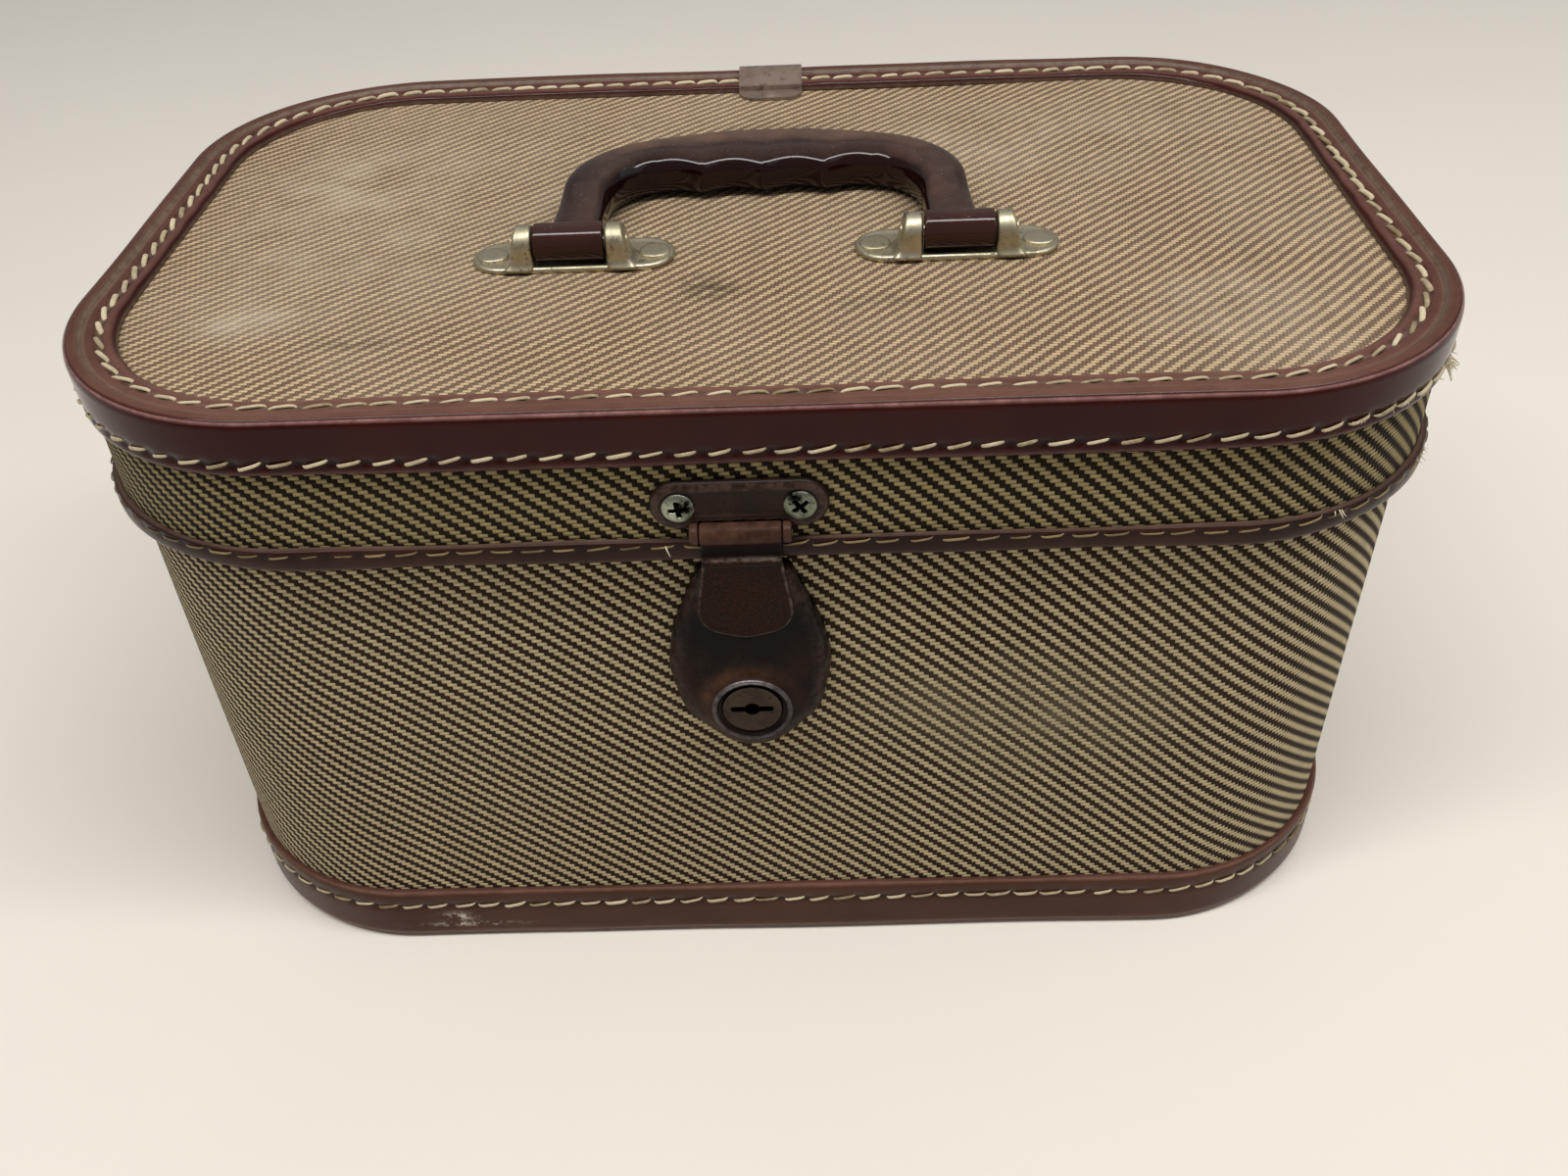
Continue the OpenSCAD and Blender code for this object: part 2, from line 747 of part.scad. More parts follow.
module lock_case() {
  color("saddlebrown") translate([latch_x, 0, 0]) difference() {
    union() {
      difference() {
        lock_body();
        translate([0, eps, 0]) lock_body(lock_sheet);
      }
      translate([0, 0, lock_z]) rotate([90, 0, 0]) rotate_extrude()
        round_box(plug_r - bezel_lip, -bezel_back, bezel_r, -bezel_face, bezel_round);
    }
    translate([0, 0, lock_z]) rod_y(plug_r + plug_fit, bezel_face - cut, bezel_back + cut);
    block(-slot_half, lock_face - cut, slot_low, slot_half, plate_face + cut, parting_h);
  }
}

module lock_back_plate() {
  color("gray") translate([latch_x, 0, 0]) {
    difference() {
      from_front(plate_face, base_front) lock_outline();
      block(-slot_half, plate_face - cut, slot_low, slot_half, base_front + cut, parting_h);
      for (s = [-1, 1]) translate([s * lock_rivet_x, 0, lock_rivet_z]) lock_rivet_sunk();
    }
    block(bolt_left, bolt_face, bolt_low - side_fit - guide_t,
      plug_r, plate_face + eps, bolt_low - side_fit);
    block(-staple_t / 4, bolt_face, bolt_high + side_fit,
      plug_r, plate_face + eps, bolt_high + side_fit + guide_t);
  }
}

// Sunk head of a lock rivet within the back plate
module lock_rivet_sunk() {
  translate([0, plate_face, 0]) rotate([-90, 0, 0])
    cylinder(r1 = lock_rivet_sink, r2 = lock_rivet_r, h = plate_t);
}

module lock_rivets() {
  color("silver") for (s = [-1, 1]) translate([latch_x + s * lock_rivet_x, 0, lock_rivet_z]) {
    lock_rivet_sunk();
    rod_y(lock_rivet_r, base_front, -core_y - base_lining_r);
    rod_y(lock_rivet_tail_r, -core_y - base_lining_r, -core_y - base_lining_r + tail_h);
  }
}

module lock_plug() {
  color("dimgray") translate([latch_x, 0, lock_z]) {
    difference() {
      union() {
        rod_y(plug_r, plug_face, plug_back);
        rod_y(plug_flange_r, plug_back - plug_flange_t, plug_back);
      }
      rod_y(key_hole_r, plug_face - cut, plug_face + key_d);
      from_front(plug_face - cut, plug_face + key_d) blob([
        [-(key_w - key_slit) / 2, 0, key_slit / 2], [(key_w - key_slit) / 2, 0, key_slit / 2]
      ]);
    }
    translate([bolt_rest, 0, -bolt_rest]) rod_y(drive_pin_r, plug_back - eps, bolt_back);
  }
}

module lock_bolt() {
  color("silver") translate([latch_x, 0, 0]) difference() {
    union() {
      block(bolt_left, bolt_face, bolt_low, bolt_right, bolt_back, bolt_high);
      block(column_left, bolt_face, lock_z + bolt_arm_rise, bolt_right, bolt_back, bolt_high);
      block(column_left, bolt_face, lock_z + bolt_arm_rise,
        column_right, bolt_back, nose_z + nose_h / 2 + column_cap);
      block(column_left, bolt_face, nose_z - nose_h / 2, nose_tip, bolt_back, nose_z + nose_h / 2);
    }
    from_front(bolt_face - cut, bolt_back + cut) translate([bolt_rest, lock_z]) blob([
      [0, -bolt_rest - drive_play, drive_pin_r + drive_play],
      [0, throw_r + drive_play, drive_pin_r + drive_play]
    ]);
  }
}

module hinge_barrel(x0, x1) {
  translate([0, hinge_y, hinge_z]) rod_x(hinge_r, x0, x1);
}

module hinge_bore() {
  translate([0, hinge_y, hinge_z]) rod_x(hinge_bore_r, -hinge_w, hinge_w);
}

// Lower leaf about its own middle
module hinge_lower_leaf() {
  half = hinge_w / 2;
  mid = hinge_mid / 2 + side_fit / 2;
  bend_z = base_top - leaf_bend;
  color("silver") difference() {
    union() {
      from_side(-half, half) polygon([
        [base_rear, lower_leaf_low], [base_rear + leaf_t, lower_leaf_low],
        [base_rear + leaf_t, bend_z], [hinge_y, hinge_z - hinge_r + leaf_t / 2],
        [hinge_y - leaf_t, hinge_z - hinge_r + 2 * leaf_t], [base_rear, bend_z + leaf_t]
      ]);
      hinge_barrel(-half, -mid);
      hinge_barrel(mid, half);
    }
    hinge_bore();
    translate([0, hinge_y, hinge_z]) rod_x(hinge_r + side_fit, -mid, mid);
    for (k = [-1, 1]) translate([k * hinge_rivet_x, 0, lower_rivet_z])
      rod_y(hinge_rivet_r, base_rear - cut, base_rear + leaf_t + cut);
  }
}

module hinge_lower_leaf_left() {
  translate([-hinge_x, 0, 0]) hinge_lower_leaf();
}

module hinge_lower_leaf_right() {
  translate([hinge_x, 0, 0]) hinge_lower_leaf();
}

// Upper leaf about its own middle
module hinge_upper_leaf() {
  half = hinge_w / 2;
  mid = hinge_mid / 2 - side_fit / 2;
  step_z = rim_top + leaf_gap;
  color("silver") difference() {
    union() {
      difference() {
        from_side(-half, half) polygon([
          [riser_in, hinge_z], [riser_in + leaf_t, hinge_z], [riser_in + leaf_t, step_z + leaf_t],
          [lid_rear + leaf_t, step_z + leaf_step + leaf_t], [lid_rear + leaf_t, upper_leaf_top],
          [lid_rear, upper_leaf_top], [lid_rear, step_z + leaf_step], [riser_in, step_z]
        ]);
        for (s = [-1, 1]) translate([s * (half + mid) / 2, 0, 0])
          hinge_notch((half - mid) / 2);
      }
      hinge_barrel(-mid, mid);
    }
    hinge_bore();
    for (k = [-1, 1]) translate([k * hinge_rivet_x, 0, upper_rivet_z])
      rod_y(hinge_rivet_r, lid_rear - cut, lid_rear + leaf_t + cut);
  }
}

// Room in the upper leaf for a lower knuckle
module hinge_notch(half) {
  block(-half, riser_in - cut, hinge_z - cut, half, hinge_y, hinge_z + hinge_r + side_fit);
}

module hinge_upper_leaf_left() {
  translate([-hinge_x, 0, 0]) hinge_upper_leaf();
}

module hinge_upper_leaf_right() {
  translate([hinge_x, 0, 0]) hinge_upper_leaf();
}

module hinge_pins() {
  color("gray") for (s = [-1, 1]) translate([s * hinge_x, hinge_y, hinge_z])
    rod_x(hinge_pin_r, -hinge_w / 2, hinge_w / 2);
}

// Rivets of one row of hinge leaves, from the leaf in to an inner face
module hinge_rivet_row(z, outer, inner) {
  for (s = [-1, 1], k = [-1, 1]) translate([s * hinge_x + k * hinge_rivet_x, 0, z]) {
    rod_y(hinge_rivet_r, inner, outer);
    rod_y(hinge_head_r, inner - tail_h, inner);
    translate([0, outer, 0]) rotate([-90, 0, 0]) dome_head(hinge_head_r, hinge_head_h);
  }
}

module hinge_lower_rivets() {
  color("silver") hinge_rivet_row(lower_rivet_z, base_rear + leaf_t, core_y + collar_in_r);
}

module hinge_upper_rivets() {
  color("silver") hinge_rivet_row(upper_rivet_z, lid_rear + leaf_t, core_y + lid_lining_r);
}

// Stud that carries the stay arm, from its head to its seat in a wall
module stay_stud(seat) {
  rod_x(stay_stud_r, stay_inner - side_fit - eps, seat + lining_t + stud_bite);
  rod_x(stay_head_r, stay_inner - side_fit - stay_head_t, stay_inner - side_fit);
  rod_x(stay_head_r, stay_face + side_fit, seat);
}

module stay_base_stud() {
  color("gray") translate([0, stay_base_y, stay_base_z]) stay_stud(core_x + collar_in_r);
}

module stay_lid_stud() {
  color("gray") translate([0, stay_lid_y, stay_lid_z]) stay_stud(core_x + lid_lining_r);
}

module stay_arm() {
  color("silver") translate([0, stay_lid_y, stay_lid_z]) rotate([stay_tilt, 0, 0]) difference() {
    from_side(stay_inner, stay_face) difference() {
      blob([[0, -stay_l, stay_w / 2], [0, 0, stay_w / 2]]);
      blob([[0, -stay_wide - stay_play, stay_slot_r], [0, -stay_shut + stay_play, stay_slot_r]]);
    }
    rod_x(stay_stud_r + run_fit, stay_inner - cut, stay_face + cut);
  }
}

module lid_wall() {
  color("tan") difference() {
    tube(lid_board_r, lid_in_r, lid_wall_low, lid_board_low);
    lid_holes();
  }
}

module lid_top_panel() {
  color("tan") difference() {
    slab(lid_board_r, lid_board_low, lid_board_top);
    top_holes();
  }
}

module lid_wall_covering() {
  color("darkkhaki") difference() {
    tube(lid_r, lid_board_r, lid_wall_low, lid_board_top);
    lid_holes();
  }
}

module lid_top_covering() {
  color("khaki") difference() {
    slab(lid_r, lid_board_top, panel_top);
    top_holes();
  }
}

module lid_edge_binding() {
  color("maroon") sweep() difference() {
    edge_section();
    groove_section();
  }
}

module lid_rim_binding() {
  color("maroon") sweep() rim_section();
}

module lid_lining() {
  color("bisque") difference() {
    union() {
      slab(lid_in_r, lid_board_low - lining_t, lid_board_low);
      tube(lid_in_r, lid_lining_r, rim_top, lid_board_low);
    }
    lid_holes();
    top_holes();
  }
}

// Section of the binding clip: over the binding, down its inner edge and along the lid cloth
module clip_section() {
  top = flange_p[1] + clip_t;
  difference() {
    edge_section(clip_t);
    edge_section();
    square([corner_r + 2 * clip_t, body_h - clip_drop]);
  }
  polygon([
    [flange_in_r - clip_tab, panel_top], [flange_in_r, panel_top], [flange_in_r, top - clip_t / 2],
    [flange_in_r + clip_t / 2, top], [flange_in_r - clip_t, top],
    [flange_in_r - clip_t, panel_top + clip_t], [flange_in_r - clip_tab, panel_top + clip_t]
  ]);
}

module binding_clip() {
  color("saddlebrown") translate([clip_x, 0, 0]) difference() {
    intersection() {
      translate([0, core_y, 0]) from_side(-clip_w / 2, clip_w / 2) clip_section();
      linear_extrude(body_h + 2 * clip_t)
        round_box(-clip_w / 2, clip_end_y, clip_w / 2, rim_rear + 2 * clip_end_r, clip_end_r);
    }
    translate([0, clip_rivet_y, panel_top - cut]) cylinder(r = clip_rivet_r, h = clip_t + 2 * cut);
  }
}

module clip_rivet() {
  color("gray") translate([clip_x, clip_rivet_y, 0]) {
    translate([0, 0, clip_rivet_low]) cylinder(r = clip_rivet_r, h = panel_top + clip_t - clip_rivet_low);
    translate([0, 0, panel_top + clip_t]) dome_head(clip_head_r, clip_head_h);
  }
}

// Ear of a bracket, on the right of the pivot's middle
module bracket_ear() {
  intersection() {
    from_side(ear_in, ear_in + ear_foot) blob([
      [ear_round - ear_r, plate_top, ear_round], [ear_r - ear_round, plate_top, ear_round], [0, axis_z, ear_r]
    ]);
    from_front(-bracket_w, bracket_w) {
      polygon([
        [ear_in, panel_top], [ear_in + ear_foot, panel_top], [ear_in + ear_foot, plate_top],
        [ear_in + ear_top, ear_high - ear_shoulder], [ear_in + ear_top - ear_shoulder, ear_high],
        [ear_in, ear_high]
      ]);
      translate([ear_in + ear_top - ear_shoulder, ear_high - ear_shoulder]) circle(ear_shoulder);
    }
  }
}

// Bracket about its own middle
module handle_bracket() {
  color("silver") difference() {
    union() {
      translate([0, bracket_y, panel_top]) pill(bracket_l, bracket_w, bracket_t, bracket_round);
      translate([0, handle_y, 0]) {
        bracket_ear();
        mirror([1, 0, 0]) bracket_ear();
      }
    }
    translate([0, handle_y, axis_z]) rod_x(handle_pin_r, -bracket_l, bracket_l);
    for (k = [-1, 1]) translate([k * bracket_rivet_x, bracket_y, panel_top - cut])
      cylinder(r = bracket_rivet_r, h = bracket_t + 2 * cut);
  }
}

module handle_bracket_left() {
  translate([handle_x - bracket_x, 0, 0]) handle_bracket();
}

module handle_bracket_right() {
  translate([handle_x + bracket_x, 0, 0]) handle_bracket();
}

module bracket_rivets() {
  color("silver") for (s = [-1, 1], k = [-1, 1])
    translate([handle_x + s * bracket_x + k * bracket_rivet_x, bracket_y, 0]) {
      translate([0, 0, lid_board_low]) cylinder(r = bracket_rivet_r, h = plate_top - lid_board_low);
      translate([0, 0, lid_board_low - lining_t]) cylinder(r = bracket_tail_r, h = lining_t);
      translate([0, 0, plate_top]) dome_head(bracket_head_r, bracket_head_h);
    }
}

module handle_pins() {
  color("gray") for (s = [-1, 1]) translate([handle_x + s * bracket_x, handle_y, axis_z])
    rod_x(handle_pin_r, -pin_half, pin_half);
}

// Inner edge of the grip with its finger grooves
function grip_edge(x) = grip_in + finger_depth * abs(sin(180 * x / finger_pitch));

// Right-hand half of the handle from barrel to middle: [inner point, outer point, half thickness]
function ease(t) = t * t * (3 - 2 * t);
function arm_share(v) = ease(max(0, min(1, (v - arm_hold) / arm_blend_l)));
function arm_t(v) = arm_root_t + (grip_t / 2 - arm_root_t) * arm_share(v);
function corner_at(k) = 90 * k / corner_n;
function grip_right() = concat(
  [for (k = [0:arm_n - 1]) let (v = k / arm_n)
    [[arm_in, v * (grip_in - in_corner_r)], [arm_out, v * (grip_out - grip_corner_r)],
      arm_t(v * (grip_out - grip_corner_r))]],
  [for (k = [0:corner_n - 1]) let (a = corner_at(k))
    [[grip_half + in_corner_r * cos(a), grip_edge(grip_half) - in_corner_r * (1 - sin(a))
      - (1 - k / corner_n) * (grip_edge(grip_half) - grip_in)],
      [arm_out - grip_corner_r * (1 - cos(a)), grip_out - grip_corner_r * (1 - sin(a))],
      arm_t(grip_out - grip_corner_r * (1 - sin(a)))]],
  [for (k = [grip_half_n:-1:0]) let (x = k * finger_pitch / groove_steps)
    [[x, grip_edge(x)], [x * (arm_out - grip_corner_r) / grip_half, grip_out], grip_t / 2]]
);
function flip(s) = [[-s[0][0], s[0][1]], [-s[1][0], s[1][1]], s[2]];
function grip_all() = let (h = grip_right(), n = len(h))
  concat(h, [for (i = [n - 2:-1:0]) flip(h[i])]);
function soft(c) = sign(c) * pow(abs(c), 2 / section_pow);
function section(s) = [for (i = [0:ring_n - 1]) let (a = 360 * i / ring_n, m = (s[0] + s[1]) / 2,
  p = m + (s[1] - s[0]) / 2 * soft(cos(a))) [p[0], p[1], s[2] * soft(sin(a))]];

// Lofted body of the handle
module grip_body() {
  stations = grip_all();
  n = len(stations);
  points = [for (s = stations) each section(s)];
  sides = [for (i = [0:n - 2], j = [0:ring_n - 1]) let (
    a = i * ring_n + j, b = i * ring_n + (j + 1) % ring_n,
    c = a + ring_n, d = b + ring_n) each [[a, b, c], [b, d, c]]];
  first = [for (j = [ring_n - 1:-1:0]) j];
  last = [for (j = [0:ring_n - 1]) (n - 1) * ring_n + j];
  polyhedron(points, concat(sides, [first, last]));
}

module handle_grip() {
  color("sienna") translate([handle_x, handle_y, axis_z]) difference() {
    union() {
      grip_body();
      for (s = [-1, 1]) rod_x(barrel_r, s * bracket_x - barrel_l / 2, s * bracket_x + barrel_l / 2);
    }
    for (s = [-1, 1]) rod_x(barrel_bore_r, s * bracket_x - barrel_l, s * bracket_x + barrel_l);
  }
}

module hasp_plate() {
  half = knuckle_w / 2;
  mid = knuckle_mid / 2 + side_fit;
  color("saddlebrown") translate([latch_x, 0, 0]) difference() {
    union() {
      translate([0, lid_front, hasp_mid_z]) rotate([90, 0, 0]) pill(hasp_w, hasp_h, hasp_t, hasp_round);
      block(-half, hasp_face, hasp_axis[1], half, lid_front, hasp_mid_z);
      translate([0, hasp_axis[0], hasp_axis[1]]) {
        rod_x(knuckle_r, -half, -mid);
        rod_x(knuckle_r, mid, half);
      }
    }
    translate([0, hasp_axis[0], hasp_axis[1]]) {
      rod_x(hasp_pin_r, -half - cut, half + cut);
      rod_x(knuckle_r + side_fit, -mid, mid);
    }
    block(-mid, hasp_face - cut, hasp_axis[1] - cut, mid, lid_front + cut, hasp_axis[1] + knuckle_r);
    for (s = [-1, 1]) translate([s * hasp_screw_x, 0, hasp_mid_z])
      rod_y(screw_shank_r, hasp_face - cut, lid_front + cut);
  }
}

module hasp_screws() {
  color("silver") for (s = [-1, 1]) translate([latch_x + s * hasp_screw_x, hasp_face, hasp_mid_z])
  difference() {
    union() {
      rotate([90, 0, 0]) dome_head(screw_head_r, screw_head_h);
      rod_y(screw_shank_r, -eps, screw_l);
    }
    for (a = [0, 90]) rotate([0, a, 0])
      block(-recess_l / 2, -screw_head_h - cut, -recess_w / 2,
        recess_l / 2, -screw_head_h + recess_d, recess_w / 2);
  }
}

module hasp_pin() {
  color("gray") translate([latch_x, hasp_axis[0], hasp_axis[1]])
    rod_x(hasp_pin_r, -knuckle_w / 2, knuckle_w / 2);
}

module hasp_tongue() {
  mid = knuckle_mid / 2;
  top_half = tongue_top_w / 2;
  foot_x = tongue_w / 2 - foot_corner_r;
  color("saddlebrown") translate([latch_x, 0, 0]) difference() {
    union() {
      translate([0, hasp_axis[0], hasp_axis[1]]) rod_x(knuckle_r, -mid, mid);
      block(-mid, neck_back - neck_t, neck_top - eps, mid, neck_back, hasp_axis[1]);
      block(-top_half, neck_back - neck_t, fold_z - eps, top_half, neck_back, neck_top);
      block(-top_half, tongue_face, fold_z, top_half, neck_back, fold_z + fold_h);
      from_front(tongue_face, tongue_back) blob([
        [-foot_x, tip_z + foot_corner_r + foot_corner_rise, foot_corner_r], [0, tip_z + tip_r, tip_r],
        [foot_x, tip_z + foot_corner_r + foot_corner_rise, foot_corner_r],
        [top_half - top_corner_r, fold_z + fold_h - top_corner_r, top_corner_r],
        [top_corner_r - top_half, fold_z + fold_h - top_corner_r, top_corner_r]
      ]);
      block(-staple_t / 2, tongue_back - eps, staple_low, staple_t / 2, staple_end, staple_low + staple_h);
    }
    translate([0, hasp_axis[0], hasp_axis[1]]) rod_x(hasp_pin_r + run_fit, -knuckle_w, knuckle_w);
    block(-staple_t, bolt_face - nose_play, nose_z - nose_h / 2 - nose_play,
      staple_t, bolt_back + nose_play, nose_z + nose_h / 2 + nose_play);
  }
}

base_wall();
base_bottom_panel();
base_bottom_covering();
base_wall_covering();
base_foot_binding();
base_collar();
base_lining();
lock_case();
lock_back_plate();
lock_rivets();
lock_plug();
lock_bolt();
hinge_lower_leaf_left();
hinge_lower_leaf_right();
hinge_lower_rivets();
hinge_pins();
stay_base_stud();
lid_wall();
lid_top_panel();
lid_wall_covering();
lid_top_covering();
lid_edge_binding();
lid_rim_binding();
lid_lining();
binding_clip();
clip_rivet();
hinge_upper_leaf_left();
hinge_upper_leaf_right();
hinge_upper_rivets();
handle_bracket_left();
handle_bracket_right();
bracket_rivets();
handle_pins();
handle_grip();
hasp_plate();
hasp_screws();
hasp_pin();
hasp_tongue();
stay_lid_stud();
stay_arm();
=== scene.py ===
"""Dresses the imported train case: twill cloth, stitched bindings, handle, latch and a plain studio."""

import logging
import math
from dataclasses import dataclass, replace
from enum import Enum

import bmesh
import bpy
import numpy as np
from mathutils import Matrix, Vector


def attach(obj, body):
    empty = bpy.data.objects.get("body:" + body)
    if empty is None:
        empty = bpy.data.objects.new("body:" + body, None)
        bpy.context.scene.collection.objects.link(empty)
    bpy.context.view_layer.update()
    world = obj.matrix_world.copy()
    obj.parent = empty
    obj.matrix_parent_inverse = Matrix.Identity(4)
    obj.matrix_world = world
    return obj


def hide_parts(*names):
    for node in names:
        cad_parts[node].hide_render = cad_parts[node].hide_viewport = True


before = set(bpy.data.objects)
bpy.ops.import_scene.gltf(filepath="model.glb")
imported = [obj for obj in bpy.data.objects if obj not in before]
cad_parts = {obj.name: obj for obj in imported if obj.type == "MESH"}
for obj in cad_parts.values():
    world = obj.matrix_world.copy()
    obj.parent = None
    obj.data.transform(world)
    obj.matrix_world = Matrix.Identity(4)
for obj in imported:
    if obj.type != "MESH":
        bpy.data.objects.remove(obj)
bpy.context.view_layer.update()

LOG = logging.getLogger("train_case")
MM = 0.001
TINY = 1e-9
# Sizes that several classes share, in millimetres and degrees. R is a distance outside the core plan.
BASE_WALL_R = 57.5
FOOT_BINDING_R = 59.5
LID_BINDING_R = 61.8
LATCH_X = -4.2
HASP_AXIS = (-106.9, 151.6)
HASP_KNUCKLE_R = 2.6
BARREL_BENDS = (0, 22, 45, 68, 90)
BARREL_STRAIGHT = 1.4
CLOTH_MAP = "cloth"
Colour = tuple[float, float, float]
Point = tuple[float, float, float]
Pair = tuple[float, float]
Pairs = tuple[Pair, ...]
Grain = tuple[float, float, float]
Circles = tuple[tuple[float, float, float], ...]
Faces = list[list[int]]
Array = np.ndarray
Plugs = dict[str | int, object]
Socket = bpy.types.NodeSocket
Piece = bpy.types.Object
Finish = bpy.types.Material


class Body(Enum):
    """CAD bodies that the new pieces ride on."""

    BASE = "base"
    LID = "lid"
    HANDLE = "handle"
    HASP = "hasp"


class Slot(Enum):
    """Names of the record's material slots."""

    TWILL = "twill_cloth"
    BINDING = "binding"
    HANDLE = "handle"
    NICKEL = "nickel"
    ENAMEL = "latch_enamel"


class Twill(Enum):
    """Way that the diagonal of the weave runs, seen from outside."""

    FALLING = 1.0
    RISING = -1.0


class Side(Enum):
    """Side of a binding that a row of stitches lies on."""

    WALL = "wall"
    TOP = "top"


def linear(code: str) -> Colour:
    """Linear colour of a written hex code."""
    parts = [int(code[i : i + 2], 16) / 255 for i in (0, 2, 4)]
    return tuple(c / 12.92 if c <= 0.04045 else ((c + 0.055) / 1.055) ** 2.4 for c in parts)


def waves(run: Array, length: float, seed: int, count: int = 7) -> Array:
    """Smooth closed unevenness along a run round the case.

    Args:
        run: Distances along the run.
        length: Length of the closed run.
        seed: Seed of the draw.
        count: Number of waves that are added up.

    Returns:
        Values of about -1 to 1, the same at both ends of the run.
    """
    draw = np.random.default_rng(seed)
    total = np.zeros_like(run, dtype=float)
    for k in range(1, count + 1):
        total += draw.normal() * np.sin(2 * math.pi * (k * 2 * run / length + draw.random()))
    return total / math.sqrt(count)


def bell(off: Array, reach: float) -> Array:
    """Share of 1 at no distance that falls off smoothly over a reach."""
    return np.exp(-((off / reach) ** 2))


def unit(angles: Array) -> Array:
    """Unit direction of each angle, in two columns."""
    return np.stack([np.cos(angles), np.sin(angles)], 1)


def level(flat: Array, z: float) -> Array:
    """Lays points of two columns at one height."""
    return np.column_stack([flat, np.full(len(flat), z)])


def upright(flat: Array, x: float, y: float, z: float) -> Array:
    """Stands points of two columns up before the front of the case, about a middle."""
    return np.column_stack([x + flat[:, 0], np.full(len(flat), y), z + flat[:, 1]])


@dataclass(frozen=True)
class Mottle:
    """Cloudy share of a surface: the grain of its noise, and where the share starts and ends."""

    scale: float
    detail: float
    rough: float
    low: float
    high: float


class Shader:
    """Builds the node tree of one material."""

    def __init__(self, name: str) -> None:
        """Starts a material with a bare principled shader.

        Args:
            name: Name of the material.
        """
        self.material = bpy.data.materials.new(name)
        self.material.use_nodes = True
        self.tree = self.material.node_tree
        self.bsdf = self.tree.nodes["Principled BSDF"]

    def node(self, kind: str, plugs: Plugs | None = None, **settings: object) -> bpy.types.Node:
        """Adds a node.

        Args:
            kind: Kind of node.
            plugs: Values or sockets for its inputs, by name or number.
            settings: Its other settings.

        Returns:
            The node.
        """
        made = self.tree.nodes.new(kind)
        for key, value in settings.items():
            setattr(made, key, value)
        for key, value in (plugs or {}).items():
            self.plug(made.inputs[key], value)
        return made

    def plug(self, socket: Socket, value: object) -> None:
        """Sets a socket to a value or links it to another one.

        Args:
            socket: Input to set.
            value: A number, a colour or another socket.
        """
        if isinstance(value, Socket):
            self.tree.links.new(value, socket)
        elif isinstance(value, tuple) and len(value) == 3 and socket.type == "RGBA":
            socket.default_value = (*value, 1.0)
        else:
            socket.default_value = value

    def set(self, **values: object) -> None:
        """Sets sockets of the shader, with _ for a space in the name."""
        for key, value in values.items():
            self.plug(self.bsdf.inputs[key.replace("_", " ")], value)

    def math(self, op: str, a: object, b: object = 0.0, c: object = 0.0) -> Socket:
        """Result of an operation on up to three values."""
        return self.node("ShaderNodeMath", {0: a, 1: b, 2: c}, operation=op).outputs[0]

    def times(self, a: object, b: object) -> Socket:
        """Product of two values."""
        return self.math("MULTIPLY", a, b)

    def scaled(self, value: object, by: object, plus: object) -> Socket:
        """A value times a factor plus an offset."""
        return self.math("MULTIPLY_ADD", value, by, plus)

    def mix(self, share: object, a: object, b: object, blend: str = "MIX") -> Socket:
        """Mix of two colours by a share."""
        plugs = {0: share, 6: a, 7: b}
        return self.node("ShaderNodeMix", plugs, data_type="RGBA", blend_type=blend).outputs[2]

    def step(self, value: object, low: float, high: float) -> Socket:
        """Smooth step of a value, from 0 at low to 1 at high."""
        plugs = {0: value, 1: low, 2: high, 3: 0.0, 4: 1.0}
        return self.node("ShaderNodeMapRange", plugs, interpolation_type="SMOOTHSTEP").outputs[0]

    def noise(self, place: object, scale: float, detail: float = 2.0, rough: float = 0.5) -> Socket:
        """Noise of 0 to 1 at a place."""
        plugs = {"Vector": place, "Scale": scale, "Detail": detail, "Roughness": rough}
        return self.node("ShaderNodeTexNoise", plugs).outputs["Fac"]

    def mottle(self, place: object, look: Mottle) -> Socket:
        """Share of 0 to 1 of a mottle at a place."""
        return self.step(self.noise(place, look.scale, look.detail, look.rough), look.low, look.high)

    def worn(self, mark: str, place: object, look: Mottle, share: Pair) -> Socket:
        """Painted mark broken up by a mottle, with what the mottle adds and what stays without it."""
        return self.times(self.mask(mark), self.scaled(self.mottle(place, look), *share))

    def cells(self, place: object, scale: float) -> Socket:
        """Distance within a pattern of cells."""
        return self.node("ShaderNodeTexVoronoi", {"Vector": place, "Scale": scale}).outputs["Distance"]

    def chance(self, number: object) -> Socket:
        """Value of 0 to 1 drawn by a whole number."""
        return self.node("ShaderNodeTexWhiteNoise", {"W": number}, noise_dimensions="1D").outputs[0]

    def flat(self, x: object, y: object, z: object) -> Socket:
        """Vector of three values."""
        return self.node("ShaderNodeCombineXYZ", {0: x, 1: y, 2: z}).outputs[0]

    def grey(self, value: object) -> Socket:
        """Grey colour of a value."""
        return self.node("ShaderNodeCombineColor", {0: value, 1: value, 2: value}).outputs[0]

    def split(self, vector: object) -> tuple[Socket, ...]:
        """The three values of a vector."""
        return tuple(self.node("ShaderNodeSeparateXYZ", {0: vector}).outputs)

    def place(self) -> Socket:
        """Place on the object, in metres."""
        return self.node("ShaderNodeTexCoord").outputs["Object"]

    def facing(self) -> Socket:
        """Height part of the surface's own direction, at rest."""
        return self.split(self.node("ShaderNodeTexCoord").outputs["Normal"])[2]

    def mask(self, name: str) -> Socket:
        """Value painted on the mesh under a name."""
        return self.node("ShaderNodeAttribute", attribute_name=name).outputs["Fac"]

